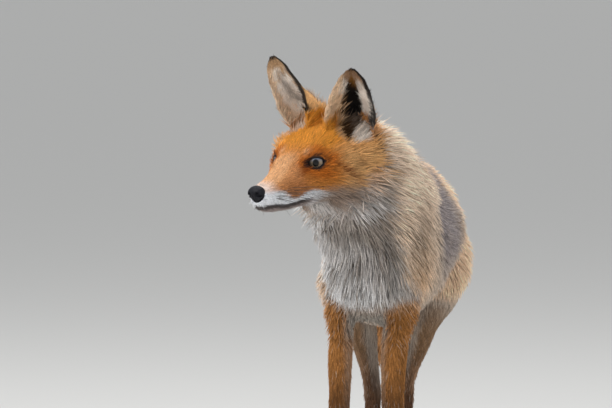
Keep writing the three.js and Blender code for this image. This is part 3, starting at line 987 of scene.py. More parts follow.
    def _ear(self, side: float, points: Array, normals: Array) -> Array:
        """One ear: black back over an orange base, pale hair inside round painted shade in the hollow.

        Args:
            side: LEFT or RIGHT.
            points: Places on that ear.
            normals: The skin's normals there.

        Returns:
            A colour for each place.
        """
        p = self.palette
        local, facing = HEAD.to_local(points), HEAD.directions(normals)
        height, across, face = EarPlace(side).measure(local, facing)
        wobble = (self.small.at(points) - 0.5) * 0.25
        flank = np.tile(p.ear_flank, (len(points), 1))
        medial = ramp(-0.1, -0.5, across) * ramp(0.8, 0.62, height)
        back = mix(flank, p.black, ramp(0.4, 0.6, height + wobble) * (1 - 0.9 * medial))
        inside = np.tile(p.ear_hair, (len(points), 1))
        # Painted shade in the cup: broad in the left ear, a faint narrow band in the right.
        hollow = ramp(-0.55, -0.3, across + wobble) * ramp(0.62, 0.36, across - wobble)
        hollow *= ramp(0.84, 0.58, height + 0.6 * wobble)
        if side == RIGHT:
            hollow *= 0.55 * bell(across, 0.3, 0.25)
        else:
            hollow = self._hollow_painted_shade(local, wobble * 20)
        inside = mix(inside, p.black * 0.2, hollow)
        top = ramp(0.62, 0.84, height + wobble)
        inside = mix(inside, p.crown * 0.26 if side == LEFT else p.ear_flank * 0.55, top * 0.9)
        front = ramp(-0.45, -0.75, across) * ramp(0.75, 0.5, height)
        inside = mix(inside, p.ear_flank, front * 0.8)
        colour = mix(back, inside, ramp(-0.15, 0.2, face))
        shown = across if side == LEFT else -across
        rim = ramp(0.7, 0.86, shown) * ramp(0.48, 0.64, height)
        thin = ramp(0.84, 0.95, shown) * ramp(0.1, 0.25, height) * ramp(-0.3, 0.1, face)
        rim = np.maximum(rim, thin)
        rim = np.maximum(rim, ramp(0.93, 0.98, height))
        colour = mix(colour, p.black, rim * 0.97)
        other = ramp(-0.62, -0.8, shown) * ramp(0.93, 0.8, height)
        colour = mix(colour, mix(p.ear_hair, p.ear_flank, 0.65), other * 0.85)
        base = self._face(points, local)
        share = ramp(0.02, 0.14, height + 0.5 * wobble)
        share = np.maximum(share, ramp(0, 0.35, face) * ramp(-0.14, -0.04, height))
        return mix(base, colour, share)

    def _body(self, points: Array, normals: Array) -> Array:
        """The markings from the neck to the tail.

        Args:
            points: Places in the world.
            normals: The skin's normals there.

        Returns:
            A colour for each place.
        """
        p = self.palette
        x, y, z = (points / MM).T
        wobble = (self.broad.at(points) - 0.5) * 2
        fine = (self.small.at(points) - 0.5) * 2
        colour = np.tile(p.straw, (len(points), 1))
        side = np.abs(x - self.chest[0])
        trunk = ramp(-235, -165, y + 14 * wobble)
        colour = mix(colour, p.back, trunk)
        rear = ramp(-20, 50, y + 20 * wobble)
        colour = mix(colour, p.rump, rear)
        saddle = ramp(335, 375, z + 8 * wobble) * ramp(-250, -180, y)
        colour = mix(colour, p.tan, saddle * 0.35)
        along = y + 16 * wobble + 5 * fine
        band = ramp(-186, -146, along) * ramp(50, -85, along) * ramp(250, 285, z)
        colour = mix(colour, p.blue_grey, band * (0.76 + 0.14 * fine + 0.16 * wobble))
        low = ramp(236, 212, z + 8 * wobble) * ramp(-215, -170, y)
        colour = mix(colour, p.belly, low * 0.8)
        shoulder = bell(y, -246, 36) * bell(z, 242, 52) * ramp(20, 40, side)
        colour = mix(colour, p.shoulder, np.clip(shoulder * 1.3, 0, 1) * 0.8)
        centre = np.interp(z, *self.BIB_MIDDLE)
        half = np.interp(z, *self.BIB_HALF)
        outside = np.abs(x - centre) - half + 5 * fine + 5 * wobble
        facing = ramp(0.5, 0.1, normals[:, 2]) * ramp(0.6, 0.2, normals[:, 1])
        low_edge = ramp(222, 236, z + 9 * wobble + 5 * fine + 12 * bell(x, 9, 16))
        bib = ramp(8, -8, outside) * facing * low_edge * ramp(-190, -225, y)
        pale = mix(np.tile(p.bib, (len(points), 1)), p.bib_undertone_and_painted_shade, ramp(0.1, 0.7, fine) * 0.75)
        # Painted shade on the bib: darker towards its right side, on its upper part, and under the jaw.
        pale = mix(pale, p.bib_undertone_and_painted_shade, ramp(-8, 26, x - centre + 12 * wobble) * 0.6)
        upper = ramp(256, 292, z) * ramp(-30, -14, x - centre)
        pale = mix(pale, p.bib_undertone_and_painted_shade, upper * 0.35)
        under_jaw_painted_shade = ramp(300, 325, z) * ramp(-22, -4, x - centre)
        pale = mix(pale, p.bib_undertone_and_painted_shade, under_jaw_painted_shade * 0.75)
        # Painted shade in the gaps between locks at the front of the body, strongest on the bib.
        gap = ramp(0.56, 0.8, self.locks.at(points * (1, 1, 0.3)))
        colour = mix(colour, pale, bib)
        painted_gap_shade = gap * (0.1 + 0.26 * bib * ramp(225, 270, z)) * ramp(-120, -190, y)
        colour = colour * (1 - painted_gap_shade)[:, None]
        # Painted shade over the fox's left shoulder and the side of its neck.
        dark_fur_and_painted_shade = bell(y, -258, 44) * bell(z, 304, 40) * ramp(30, 48, x - 10)
        colour = colour * (1 - 0.6 * dark_fur_and_painted_shade * (0.8 + 0.4 * fine))[:, None]
        colour = self._legs((x, y, z), wobble, normals, colour)
        return self._tail(y, wobble, fine, colour)

    def _legs(self, place: tuple[Array, ...], wobble: Array, normals: Array, colour: Array) -> Array:
        """Orange-brown legs in dark stockings, paler behind and inside.

        Args:
            place: The x, y and z of the places, in millimetres.
            wobble: Broad patches from -1 to 1 that break up the edges.
            normals: The skin's normals.
            colour: The colours so far.

        Returns:
            The colours with the legs on them.
        """
        p = self.palette
        x, y, z = place
        front = y < -100
        top = np.where(y < -205, 242, np.where(front, 205, 226))
        leg = ramp(0, np.where(front, 28, 50), top - z - 8 * wobble)
        keel = ramp(26, 15, np.abs(x - FORELEG_GAP)) * ramp(190, 202, z) * front
        colour = mix(colour, p.leg, leg * np.where(front, 1, 0.75))
        colour = mix(colour, p.belly * 0.8, keel * leg)
        pale = ramp(0.2, 0.75, normals[:, 1]) * leg * ramp(60, 110, z)
        colour = mix(colour, p.leg_grey, pale * 0.7)
        hind = ramp(232, 190, z + 8 * wobble) * ramp(125, 165, z) * (y > -20)
        colour = mix(colour, p.leg_grey, hind * 0.7)
        inner = ramp(0.3, 0.8, -normals[:, 0] * np.sign(x)) * leg * ramp(90, 130, z)
        colour = mix(colour, p.belly * 0.85, inner * np.where(front, 0.25, 0.62))
        ahead = ramp(0.2, -0.6, normals[:, 1])
        stocking = ramp(168, 66, z + 10 * wobble - 22 * ahead) * (y < 215)
        colour = mix(colour, p.dark_brown, stocking * 0.92)
        paw = ramp(66, 30, z + 6 * wobble) * (y < 215)
        return mix(colour, p.black, paw * 0.9)

    def _tail(self, y: Array, wobble: Array, fine: Array, colour: Array) -> Array:
        """A rusty tail with dark patches, paler below, and a white tip."""
        p = self.palette
        on_tail = ramp(self.tail_start + 10, self.tail_start + 55, y)
        colour = mix(colour, p.tail, on_tail)
        gland = bell(y, self.tail_start + 70, 18) * ramp(-0.3, 0.5, wobble)
        colour = mix(colour, p.dark_brown, gland * 0.5)
        # Darker fur towards the end of the tail.
        dark_fur_and_painted_shade = ramp(self.tail_edge - 90, self.tail_edge - 10, y) * (0.45 + 0.25 * fine)
        colour = mix(colour, p.dark_brown, np.clip(dark_fur_and_painted_shade, 0, 1) * on_tail)
        white = ramp(self.tail_edge - 16, self.tail_edge + 4, y + 8 * wobble + 4 * fine)
        return mix(colour, p.white, white)


# ---------------------------------------------------------------- finishes


Setting = NodeSocket | str | bool | float | tuple[float, ...]
NOISE_ENDS = (0.3, 0.7)


def opaque(colour: Place, strength: float = 1.0) -> tuple[float, ...]:
    """A colour made stronger or weaker, as the four values of a colour socket."""
    return (*[strength * part for part in colour], 1.0)


class Graph:
    """A material and its shader nodes, added and linked by name."""

    def __init__(self, name: str, **values: Setting) -> None:
        """Start a material with a principled shader.

        Args:
            name: The material's name.
            **values: What the shader's sockets hold, as fill takes them.
        """
        self.material = bpy.data.materials.new(name)
        self.material.use_nodes = True
        self.tree = self.material.node_tree
        self.shader = self.tree.nodes["Principled BSDF"]
        self.fill(self.shader, **values)

    def fill(self, node: Node, **values: Setting) -> None:
        """Set a node up.

        Args:
            node: The node.
            **values: The node's own settings by their names in lower case, and its
                sockets by theirs with _ for a space. A socket takes a value or a link.
        """
        for name, value in values.items():
            socket = name.replace("_", " ")
            if name.islower():
                setattr(node, name, value)
            elif isinstance(value, NodeSocket):
                self.tree.links.new(value, node.inputs[socket])
            else:
                node.inputs[socket].default_value = value

    def add(self, kind: str, **values: Setting) -> Node:
        """Add a shader node of a kind and fill it."""
        node = self.tree.nodes.new(f"ShaderNode{kind}")
        self.fill(node, **values)
        return node

    def noise(self, scale: float, detail: float) -> NodeSocket:
        """Fine noise that is fixed to the piece."""
        place = self.add("TexCoord").outputs["Object"]
        return self.add("TexNoise", Vector=place, Scale=scale, Detail=detail).outputs["Fac"]

    def span(self, value: NodeSocket, ends: tuple[float, float], onto: tuple[float, float]) -> NodeSocket:
        """Carry a value from between two ends onto another pair."""
        node = self.add("MapRange", Value=value, From_Min=ends[0], From_Max=ends[1])
        self.fill(node, To_Min=onto[0], To_Max=onto[1])
        return node.outputs["Result"]

    def blend(self, first: Setting, second: Setting, share: NodeSocket) -> NodeSocket:
        """Blend a first colour towards a second by a share."""
        node = self.add("Mix", data_type="RGBA", A=first, B=second, Factor=share)
        return node.outputs["Result"]

    def scaled(self, colour: NodeSocket, amount: NodeSocket) -> NodeSocket:
        """A colour times an amount."""
        node = self.add("VectorMath", operation="SCALE", Vector=colour, Scale=amount)
        return node.outputs["Vector"]

    def length(self, place: NodeSocket) -> NodeSocket:
        """How far a place is from the origin."""
        return self.add("VectorMath", operation="LENGTH", Vector=place).outputs["Value"]

    def stored_colour(self, grain: NodeSocket, onto: tuple[float, float]) -> None:
        """Give the shader the colour stored on the points, times a grain's darks and lights."""
        stored = self.add("VertexColor", layer_name=COLOUR_NAME).outputs["Color"]
        shade = self.span(grain, NOISE_ENDS, onto)
        self.fill(self.shader, Base_Color=self.scaled(stored, shade))

    def relief(self, height: NodeSocket, strength: float, depth: float, invert: bool = False) -> None:
        """Raise the shader's surface, or press it in, by a height."""
        bump = self.add("Bump", invert=invert, Height=height, Strength=strength, Distance=depth)
        self.fill(self.shader, Normal=bump.outputs["Normal"])


@dataclass(frozen=True)
class CoatFinish:
    """Hair: the stored markings with fine lights and darks, and a soft sheen."""

    name: str = "coat"
    roughness: float = 0.62
    sheen: float = 0.02
    specular: float = 0.1
    grain: float = 900.0
    grain_depth: float = 0.22

    def make(self) -> Material:
        """Build the material."""
        graph = Graph(self.name, Roughness=self.roughness, Sheen_Weight=self.sheen)
        graph.fill(graph.shader, Specular_IOR_Level=self.specular)
        onto = (1.0 - self.grain_depth, 1.0 + self.grain_depth)
        graph.stored_colour(graph.noise(self.grain, 2.0), onto)
        return graph.material


@dataclass(frozen=True)
class SkinFinish:
    """Skin under the coat: the markings, darker with painted shade, and the short fur's fine relief."""

    name: str = "skin"
    roughness: float = 0.75
    specular: float = 0.2
    grain: float = 1400.0
    grain_shades: tuple[float, float] = (0.7, 1.1)
    relief: float = 0.5
    relief_depth: float = 0.0006

    def make(self) -> Material:
        """Build the material."""
        graph = Graph(self.name, Roughness=self.roughness, Specular_IOR_Level=self.specular)
        grain = graph.noise(self.grain, 3.0)
        graph.stored_colour(grain, self.grain_shades)
        graph.relief(grain, self.relief, self.relief_depth)
        return graph.material


@dataclass(frozen=True)
class LeatherFinish:
    """Moist black leather, for the nose pad and the lids' edges."""

    name: str = "nose_leather"
    colour: Place = (0.006, 0.006, 0.008)
    roughness: tuple[float, float] = (0.42, 0.62)
    pebble: float = 900.0
    relief: float = 0.35
    relief_depth: float = 0.0004

    def make(self) -> Material:
        """Build the material."""
        graph = Graph(self.name, Specular_IOR_Level=0.13, Coat_Weight=0.05, Coat_Roughness=0.2)
        place = graph.add("TexCoord").outputs["Object"]
        pebbles = graph.add("TexVoronoi", feature="SMOOTH_F1", Vector=place, Scale=self.pebble)
        height = pebbles.outputs["Distance"]
        tone = graph.blend(opaque(self.colour), opaque(self.colour, 3.0), height)
        graph.fill(graph.shader, Base_Color=tone)
        graph.fill(graph.shader, Roughness=graph.span(height, (0.0, 1.0), self.roughness))
        graph.relief(height, self.relief, self.relief_depth, invert=True)
        return graph.material


@dataclass(frozen=True)
class EyeFinish:
    """A wet eye: dark sclera, pale iris with fine spokes, and a tall dark pupil.

    The upper half of the iris carries a painted reflection and a painted lid shadow.
    Lengths are millimetres across the eye, and the rings are shares of the reach.
    """

    name: str = "eye"
    reach: float = 9.0
    pupil_radius: float = 3.1
    pupil_blur: float = 0.35
    pupil_squash: Place = (1.0, 0.8, 1.0)
    pupil: Place = (0.003, 0.003, 0.003)
    # Painted reflection and lid shadow, laid over the iris's upper half.
    painted_reflection_tint: Place = (0.075, 0.125, 0.22)
    spoke_shades: tuple[float, float] = (0.72, 1.2)
    rings: tuple[tuple[float, Place], ...] = (
        (0.0, (0.05, 0.035, 0.016)),
        (0.34, (0.12, 0.085, 0.05)),
        (0.48, (0.30, 0.225, 0.15)),
        (0.68, (0.44, 0.36, 0.27)),
        (0.76, (0.14, 0.11, 0.08)),
        (0.80, (0.010, 0.008, 0.006)),
        (1.0, (0.02, 0.012, 0.008)),
    )

    def make(self) -> Material:
        """Build the material, which reads each point's place across the eye."""
        graph = Graph(self.name, Roughness=0.3, Specular_IOR_Level=0.1)
        graph.fill(graph.shader, Coat_Weight=1.0, Coat_IOR=1.3, Coat_Roughness=0.03)
        place = graph.add("Attribute", attribute_name=IRIS_NAME).outputs["Vector"]
        iris = self._painted_reflection_and_lid_shadow(graph, place, self._rings(graph, place))
        iris = graph.scaled(iris, self._spokes(graph, place))
        tone = graph.blend(opaque(self.pupil), iris, self._outside_pupil(graph, place))
        graph.fill(graph.shader, Base_Color=tone)
        return graph.material

    def _rings(self, graph: Graph, place: NodeSocket) -> NodeSocket:
        """The iris from the pupil out to the dark edge and the sclera."""
        share = graph.add("Math", operation="DIVIDE", Value=graph.length(place))
        share.inputs[1].default_value = self.reach
        node = graph.add("ValToRGB", Fac=share.outputs["Value"])
        stops = node.color_ramp.elements
        for stop, (position, colour) in zip((stops[0], stops[1]), (self.rings[0], self.rings[-1])):
            stop.position = position
            stop.color = opaque(colour)
        for position, colour in self.rings[1:-1]:
            stops.new(position).color = opaque(colour)
        return node.outputs["Color"]

    def _painted_reflection_and_lid_shadow(self, graph: Graph, place: NodeSocket, iris: NodeSocket) -> NodeSocket:
        """Painted reflection and lid shadow: the iris turned to a dark grey blue in its upper half."""
        height = graph.add("SeparateXYZ", Vector=place).outputs["Y"]
        return graph.blend(iris, opaque(self.painted_reflection_tint), graph.span(height, (0.5, 4.2), (0.0, 0.8)))

    def _spokes(self, graph: Graph, place: NodeSocket) -> NodeSocket:
        """Fine lights and darks that run from the pupil outwards."""
        way = graph.add("VectorMath", operation="NORMALIZE", Vector=place).outputs["Vector"]
        noise = graph.add("TexNoise", Vector=way, Scale=11.0, Detail=3.0)
        return graph.span(noise.outputs["Fac"], NOISE_ENDS, self.spoke_shades)

    def _outside_pupil(self, graph: Graph, place: NodeSocket) -> NodeSocket:
        """0 in the pupil, a little taller than wide, and 1 outside it."""
        squash = graph.add("VectorMath", operation="MULTIPLY", Vector=place)
        squash.inputs[1].default_value = self.pupil_squash
        edge = (self.pupil_radius - self.pupil_blur, self.pupil_radius + self.pupil_blur)
        return graph.span(graph.length(squash.outputs["Vector"]), edge, (0.0, 1.0))


@dataclass(frozen=True)
class HornFinish:
    """Claws and whiskers: dark horn with fine lengthways tone."""

    name: str
    colour: Place
    roughness: float = 0.4
    grain: float = 500.0

    def make(self) -> Material:
        """Build the material."""
        graph = Graph(self.name, Roughness=self.roughness)
        dark, light = opaque(self.colour, 0.6), opaque(self.colour, 1.5)
        tone = graph.blend(dark, light, graph.noise(self.grain, 2.0))
        graph.fill(graph.shader, Base_Color=tone)
        return graph.material


@dataclass(frozen=True)
class FloorFinish:
    """A plain pale studio floor."""

    colour: Place = (0.62, 0.61, 0.59)
    darker: float = 0.985

    def make(self) -> Material:
        """Build the material."""
        graph = Graph("floor", Roughness=0.9)
        patches = graph.add("TexNoise", Scale=3.0, Detail=2.0).outputs["Fac"]
        tone = graph.blend(opaque(self.colour, self.darker), opaque(self.colour), patches)
        graph.fill(graph.shader, Base_Color=tone)
        return graph.material


# ---------------------------------------------------------------- skin


def behind_face(y: Array, z: Array) -> Array:
    """How far behind the face a place is, measured square to the cut in the neck."""
    return y * 0.86 - z * 0.5


@dataclass
class Skin:
    """The fox's one skin, which stands for every node of flesh.

    Sizes without MM are millimetres, most of them in the head frame.
    """

    coat_map: CoatMap
    markings: Markings
    body_cell: float = 1.6 * MM
    head_cell: float = 0.65 * MM
    seam_close: float = 0.4 * MM
    neck_cut: float = 84.0
    neck_overlap: float = 9.0
    cut_limit: float = 20 * MM
    fold_reach: float = 4.5 * MM
    back_drop: float = 11.0
    leg_heights: tuple[float, ...] = (55.0, 90.0, 165.0, 195.0, 228.0, 248.0)
    leg_shares: tuple[float, ...] = (0.0, 0.3, 0.42, 0.95, 0.95, 0.0)
    leg_slimming: dict = per_side(2.0, 6.0)
    ear_slimming: dict = per_side(4.0, 6.0)
    ear_mound: Mass = Mass((-14.0, 60.0, 28.0), (12.0, 11.0, 20.0))
    mound_fillet: float = 6.0
    bowl_fillet: float = 4.0
    lid_thickness: float = 1.5
    lid_fillet: float = 3.2
    upper_crease: float = 0.7
    lower_crease: float = 0.4
    ball_room: float = 0.15
    socket_fill: float = 0.4
    mouth_middle: Place = (0.0, -42.0, -38.0)
    mouth_depth: float = 1.5
    mouth_width: float = 0.9
    shell: Shell | None = None
    normals: Array | None = None
    nodes: Array | None = None

    def build(self) -> Object:
        """Make the head at a fine step, the body at a coarser one, and join them."""
        head = self._head()
        body = self._body()
        self.shell = joined([head, body])
        self.normals = self.shell.normals(1)
        self.nodes = self.coat_map.nearest(self.shell.points)
        piece = new_piece("skin", self.shell, SkinFinish().make())
        colours = self.markings.paint(self.shell.points, self.normals, self.nodes)
        depth = self.coat_map.at(self.shell.points)["depth"] / MM
        # Painted shade: the skin darkens where the coat over it is deep.
        paint_points(piece, colours * (1.0 - 0.45 * ramp(1.5, 8, depth))[:, None])
        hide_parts(*self.coat_map.names)
        return piece

    def _flesh(self, names: list[str], cell: float) -> Shell:
        """The outer surface of these nodes, with the thin gaps between them closed."""
        return Block.around(node_shell(names), cell, 3).surface(self.seam_close, 0.0)

    def _settled(self, outer: Shell, rounds: int) -> Shell:
        """The skin under the coat: the outer surface moved inwards by the coat's depth."""
        depth = self.coat_map.at(outer.points)["depth"] + self.seam_close
        inner = outer.points - outer.normals(rounds) * depth[:, None]
        return Shell(inner, outer.triangles)

    def _sunk(self, shell: Shell) -> Shell:
        """Lower the back behind the mane, and slim the tops of the forelegs."""
        normals = shell.normals(4)
        x, y, z = (shell.points / MM).T
        back = self.back_drop * ramp(-0.1, 0.45, normals[:, 2]) * ramp(-195, -135, y)
        back = back * ramp(120, 40, y) * ramp(250, 290, z)
        leg = np.interp(z, self.leg_heights, self.leg_shares) * ramp(-185, -205, y)
        left = self.leg_slimming[LEFT] * ramp(0.2, 0.7, normals[:, 0])
        right = self.leg_slimming[RIGHT] * ramp(0.2, 0.7, -normals[:, 0])
        shift = (back + leg * np.where(x < FORELEG_GAP, right, left)) * MM
        return Shell(shell.points - normals * shift[:, None], shell.triangles)

    def _cut(self, block: Block, wall: Array) -> None:
        """Take away what lies where the wall's distance, in millimetres, is positive."""
        limit = self.cut_limit
        block.values = np.maximum(block.values, np.clip(wall * MM, -limit, limit))

    def _body(self) -> Shell:
        """Neck, trunk, legs and tail, with the folds between them filled softly."""
        block = Block.around(self._flesh(self.coat_map.names, self.body_cell), self.body_cell, 4)
        _, y, z = block.places()
        soft = ramp(150 * MM, 215 * MM, z) + ramp(180 * MM, 215 * MM, y) * (z > 0)
        soft = np.clip(soft, 0.0, 1.0).astype(np.float32)
        block.values = block.values + (block.evened(self.fold_reach) - block.values) * soft
        inner = self._sunk(self._settled(block.surface(0.0, 0.02), 6))
        block = Block.around(inner, self.body_cell, 3)
        _, y, z = block.local(HEAD)
        self._cut(block, self.neck_cut - self.neck_overlap - behind_face(y, z))
        return block.surface(0.0, 0.04)

    def _head(self) -> Shell:
        """Head, ears and the top of the neck, with lids, mouth and folds."""
        names = ["head", "jaw", "ear_left", "ear_right", "neck"]
        inner = self._settled(self._flesh(names, self.head_cell), 3)
        inner.points = self._slimmed(inner.points)
        block = Block.around(inner, self.head_cell, 6)
        self._ear_bases(block)
        _, y, z = block.local(HEAD)
        self._cut(block, behind_face(y, z) - self.neck_cut)
        for side in SIDES:
            self._lids(block, side)
        self._mouth(block)
        return block.surface(0.0, 0.07)

    def _slimmed(self, points: Array) -> Array:
        """Draw each ear's outer edge in along its lower half, and widen its tip a little."""
        for side in SIDES:
            local = HEAD.to_local(points)
            root = np.array(HEAD_PLAN.ear_root[side])
            height, across, _ = EarPlace(side).measure(local, np.zeros_like(local))
            near = np.linalg.norm((local - root)[:, :2], axis=1) < 48.0
            low = ramp(0.02, 0.2, height) * ramp(0.85, 0.5, height)
            shift = self.ear_slimming[side] * low * ramp(0, 1, across) * near
            shift = shift * (local[:, 2] > 10.0)
            shift -= 2.6 * ramp(0.78, 0.95, height) * np.clip(across, -1, 1) * near
            local[:, 0] -= side * shift * 0.94
            local[:, 1] += shift * 0.34
            points = HEAD.to_world(local)
        return points

    def _ear_bases(self, block: Block) -> None:
        """Round off each ear's root: a mound behind the cup and a bowl at its bottom."""
        for side in SIDES:
            root = np.array(HEAD_PLAN.ear_root[side])
            window = block.window(HEAD.to_world(root + (0.0, 12.0, 18.0)), 46 * MM)
            x, y, z = block.local(HEAD, window)
            x = (x - root[0]) * side
            here = block.values[window] / MM
            here = soft_union(here, self.ear_mound.distance(x, y, z), self.mound_fillet)
            here = -soft_union(-here, EAR_BOWL.distance(x, y, z), self.bowl_fillet)
            block.values[window] = here * MM

    def _lids(self, block: Block, side: float) -> None:
        """Raise the lids round one eye, open them, and clear the ball's bed."""
        radius = HEAD_PLAN.eye_radius
        window = block.window(EYES[side].origin, 21 * MM)
        across, out, up = block.local(EYES[side], window)
        reach = np.sqrt(across**2 + out**2 + up**2)
        edge = LIDS.edge_distance(across, up)
        here = np.minimum(block.values[window] / MM, reach - (radius + self.socket_fill))
        here = soft_union(here, reach - (radius + self.lid_thickness), self.lid_fillet)
        crease = self.upper_crease * bell(edge, 4, 0.9) * (out > 0) * ramp(0.5, 3, up)
        here = here + crease
        crease = self.lower_crease * bell(edge, 3.4, 0.9) * (out > 0) * ramp(-0.5, -3, up)
        here = here + crease
        here = np.maximum(here, -np.maximum(edge, 1.0 - out))
        here = np.maximum(here, (radius + self.ball_room) - reach)
        block.values[window] = here * MM

    def _mouth(self, block: Block) -> None:
        """Press the line of the mouth in."""
        window = block.window(HEAD.to_world(self.mouth_middle), 46 * MM)
        _, y, z = block.local(HEAD, window)
        gap = Markings.mouth_distance(y, z)
        near = ramp(-10, -16, y) * ramp(-78, -74, y)
        press = self.mouth_depth * np.exp(-((gap / self.mouth_width) ** 2)) * near
        block.values[window] += (press * MM).astype(np.float32)


# ---------------------------------------------------------------- coat


@dataclass(frozen=True)
class Layer:
    """One layer of tufts in a zone, in millimetres and shares."""

    spacing: float
    length: float = 1.0
    width: float = 1.0
    stations: tuple[float, ...] = (0.38,)
    lift: float = 1.0
    spread: float = 9.0
    # How dark each tuft is at its root: the darker under-fur, with painted shade deep in the coat.
    root_underfur_and_painted_shade: float = 0.7
    tip_shade: float = 1.08
    dark_share: float = 0.1
    dark_tint: float = 0.45
    pale_share: float = 0.15


LAYERS: dict[Zone, list[Layer]] = {
    Zone.FACE: [
        Layer(1, 1.05, 1, (0.38,), 1, 10, 0.62, 1.12, 0.1, 0.55, 0),
        Layer(1.9, 1.6, 0.8, (0.3, 0.68), 1.2, 12, 0.78, 1.15, 0.1, 0.6, 0),
    ],
    Zone.EARS: [Layer(1.05, 1.1, 0.9, (0.38,), 1, 10, 0.7, 1.1, 0.07, 0.55, 0)],
    Zone.NECK: [
        Layer(2.2, 0.62, 1.1, (0.4,), 1, 12, 0.7, 1.04, 0.1, 0.6, 0.1),
        Layer(2.6, 1.05, 0.75, (0.3, 0.68), 1.15, 12, 0.78, 1.14, 0.12, 0.55),
    ],
    Zone.CHEST: [
        Layer(2.2, 0.62, 1.1, (0.4,), 1, 12, 0.5, 1, 0.16, 0.5, 0.1),
        Layer(2.7, 1.05, 0.75, (0.3, 0.68), 1.1, 13, 0.62, 1.18, 0.14, 0.5),
    ],
    Zone.TRUNK: [
        Layer(2.4, 0.65, 1.1, (0.4,), 1, 10, 0.68, 1.03, 0.09, 0.6, 0.1),
        Layer(3, 1, 0.75, (0.3, 0.68), 1.2, 10, 0.75, 1.12, 0.11, 0.55),
    ],
    Zone.REAR: [
        Layer(2.4, 0.65, 1.1, (0.4,), 1, 10, 0.72, 1.04, 0.06, 0.65, 0.1),
        Layer(3, 1.05, 0.75, (0.3, 0.68), 1.25, 11, 0.78, 1.12, 0.07, 0.6),
    ],
    Zone.FORELEGS: [Layer(1.5, 1, 0.9, (0.38,), 0.8, 7, 0.85, 1.06, 0.1, 0.6, 0.04)],
    Zone.HINDLEGS: [Layer(1.6, 1, 0.9, (0.38,), 0.85, 7, 0.85, 1.06, 0.1, 0.6, 0.04)],
    Zone.TAIL: [
        Layer(3, 0.65, 1.2, (0.4,), 1, 11, 0.55, 0.95, 0.15, 0.5, 0.08),
        Layer(3.2, 1, 0.8, (0.3, 0.68), 1.05, 9, 0.65, 1.1, 0.18, 0.5),
    ],
}


@dataclass
class Roots:
    """Where tufts grow: place, normal, and the rule there."""

    points: Array
    normals: Array
    nodes: Array
    rule: dict[str, Array]


def tuft_faces(rings: int, count: int) -> Array:
    """The triangles of closed slivers: a root point, three-cornered rings, a tip point.

    Args:
        rings: How many rings each sliver has.
        count: How many slivers.

    Returns:
        Three point numbers for each triangle.
    """
    per = 2 + 3 * rings
    pattern = [(0, 1 + (i + 1) % 3, 1 + i) for i in range(3)]
    for ring in range(rings - 1):
        base = 1 + 3 * ring
        for i in range(3):
            a, b = base + i, base + (i + 1) % 3
            pattern += [(a, b, b + 3), (a, b + 3, a + 3)]
    last = 1 + 3 * (rings - 1)
    pattern += [(last + i, last + (i + 1) % 3, per - 1) for i in range(3)]
    steps = np.arange(count)[:, None, None] * per
    return (np.array(pattern)[None] + steps).reshape(-1, 3)


@dataclass
class Tufts:
    """Grown tufts, with one row for each tuft and one entry for each of its points."""

    points: Array
    normals: Array
    colours: Array
    places: Array
    rings: int

    def part(self, share: float, end: float) -> "Tufts":
        """The tufts between two shares of the whole."""
        count = len(self.points)
        cut = slice(round(count * share), round(count * end))
        chosen = (v[cut] for v in (self.points, self.normals, self.colours, self.places))
        return Tufts(*chosen, self.rings)

    def shell(self) -> Shell:
        """The tufts' surface."""
        return Shell(self.points.reshape(-1, 3), tuft_faces(self.rings, len(self.points)))


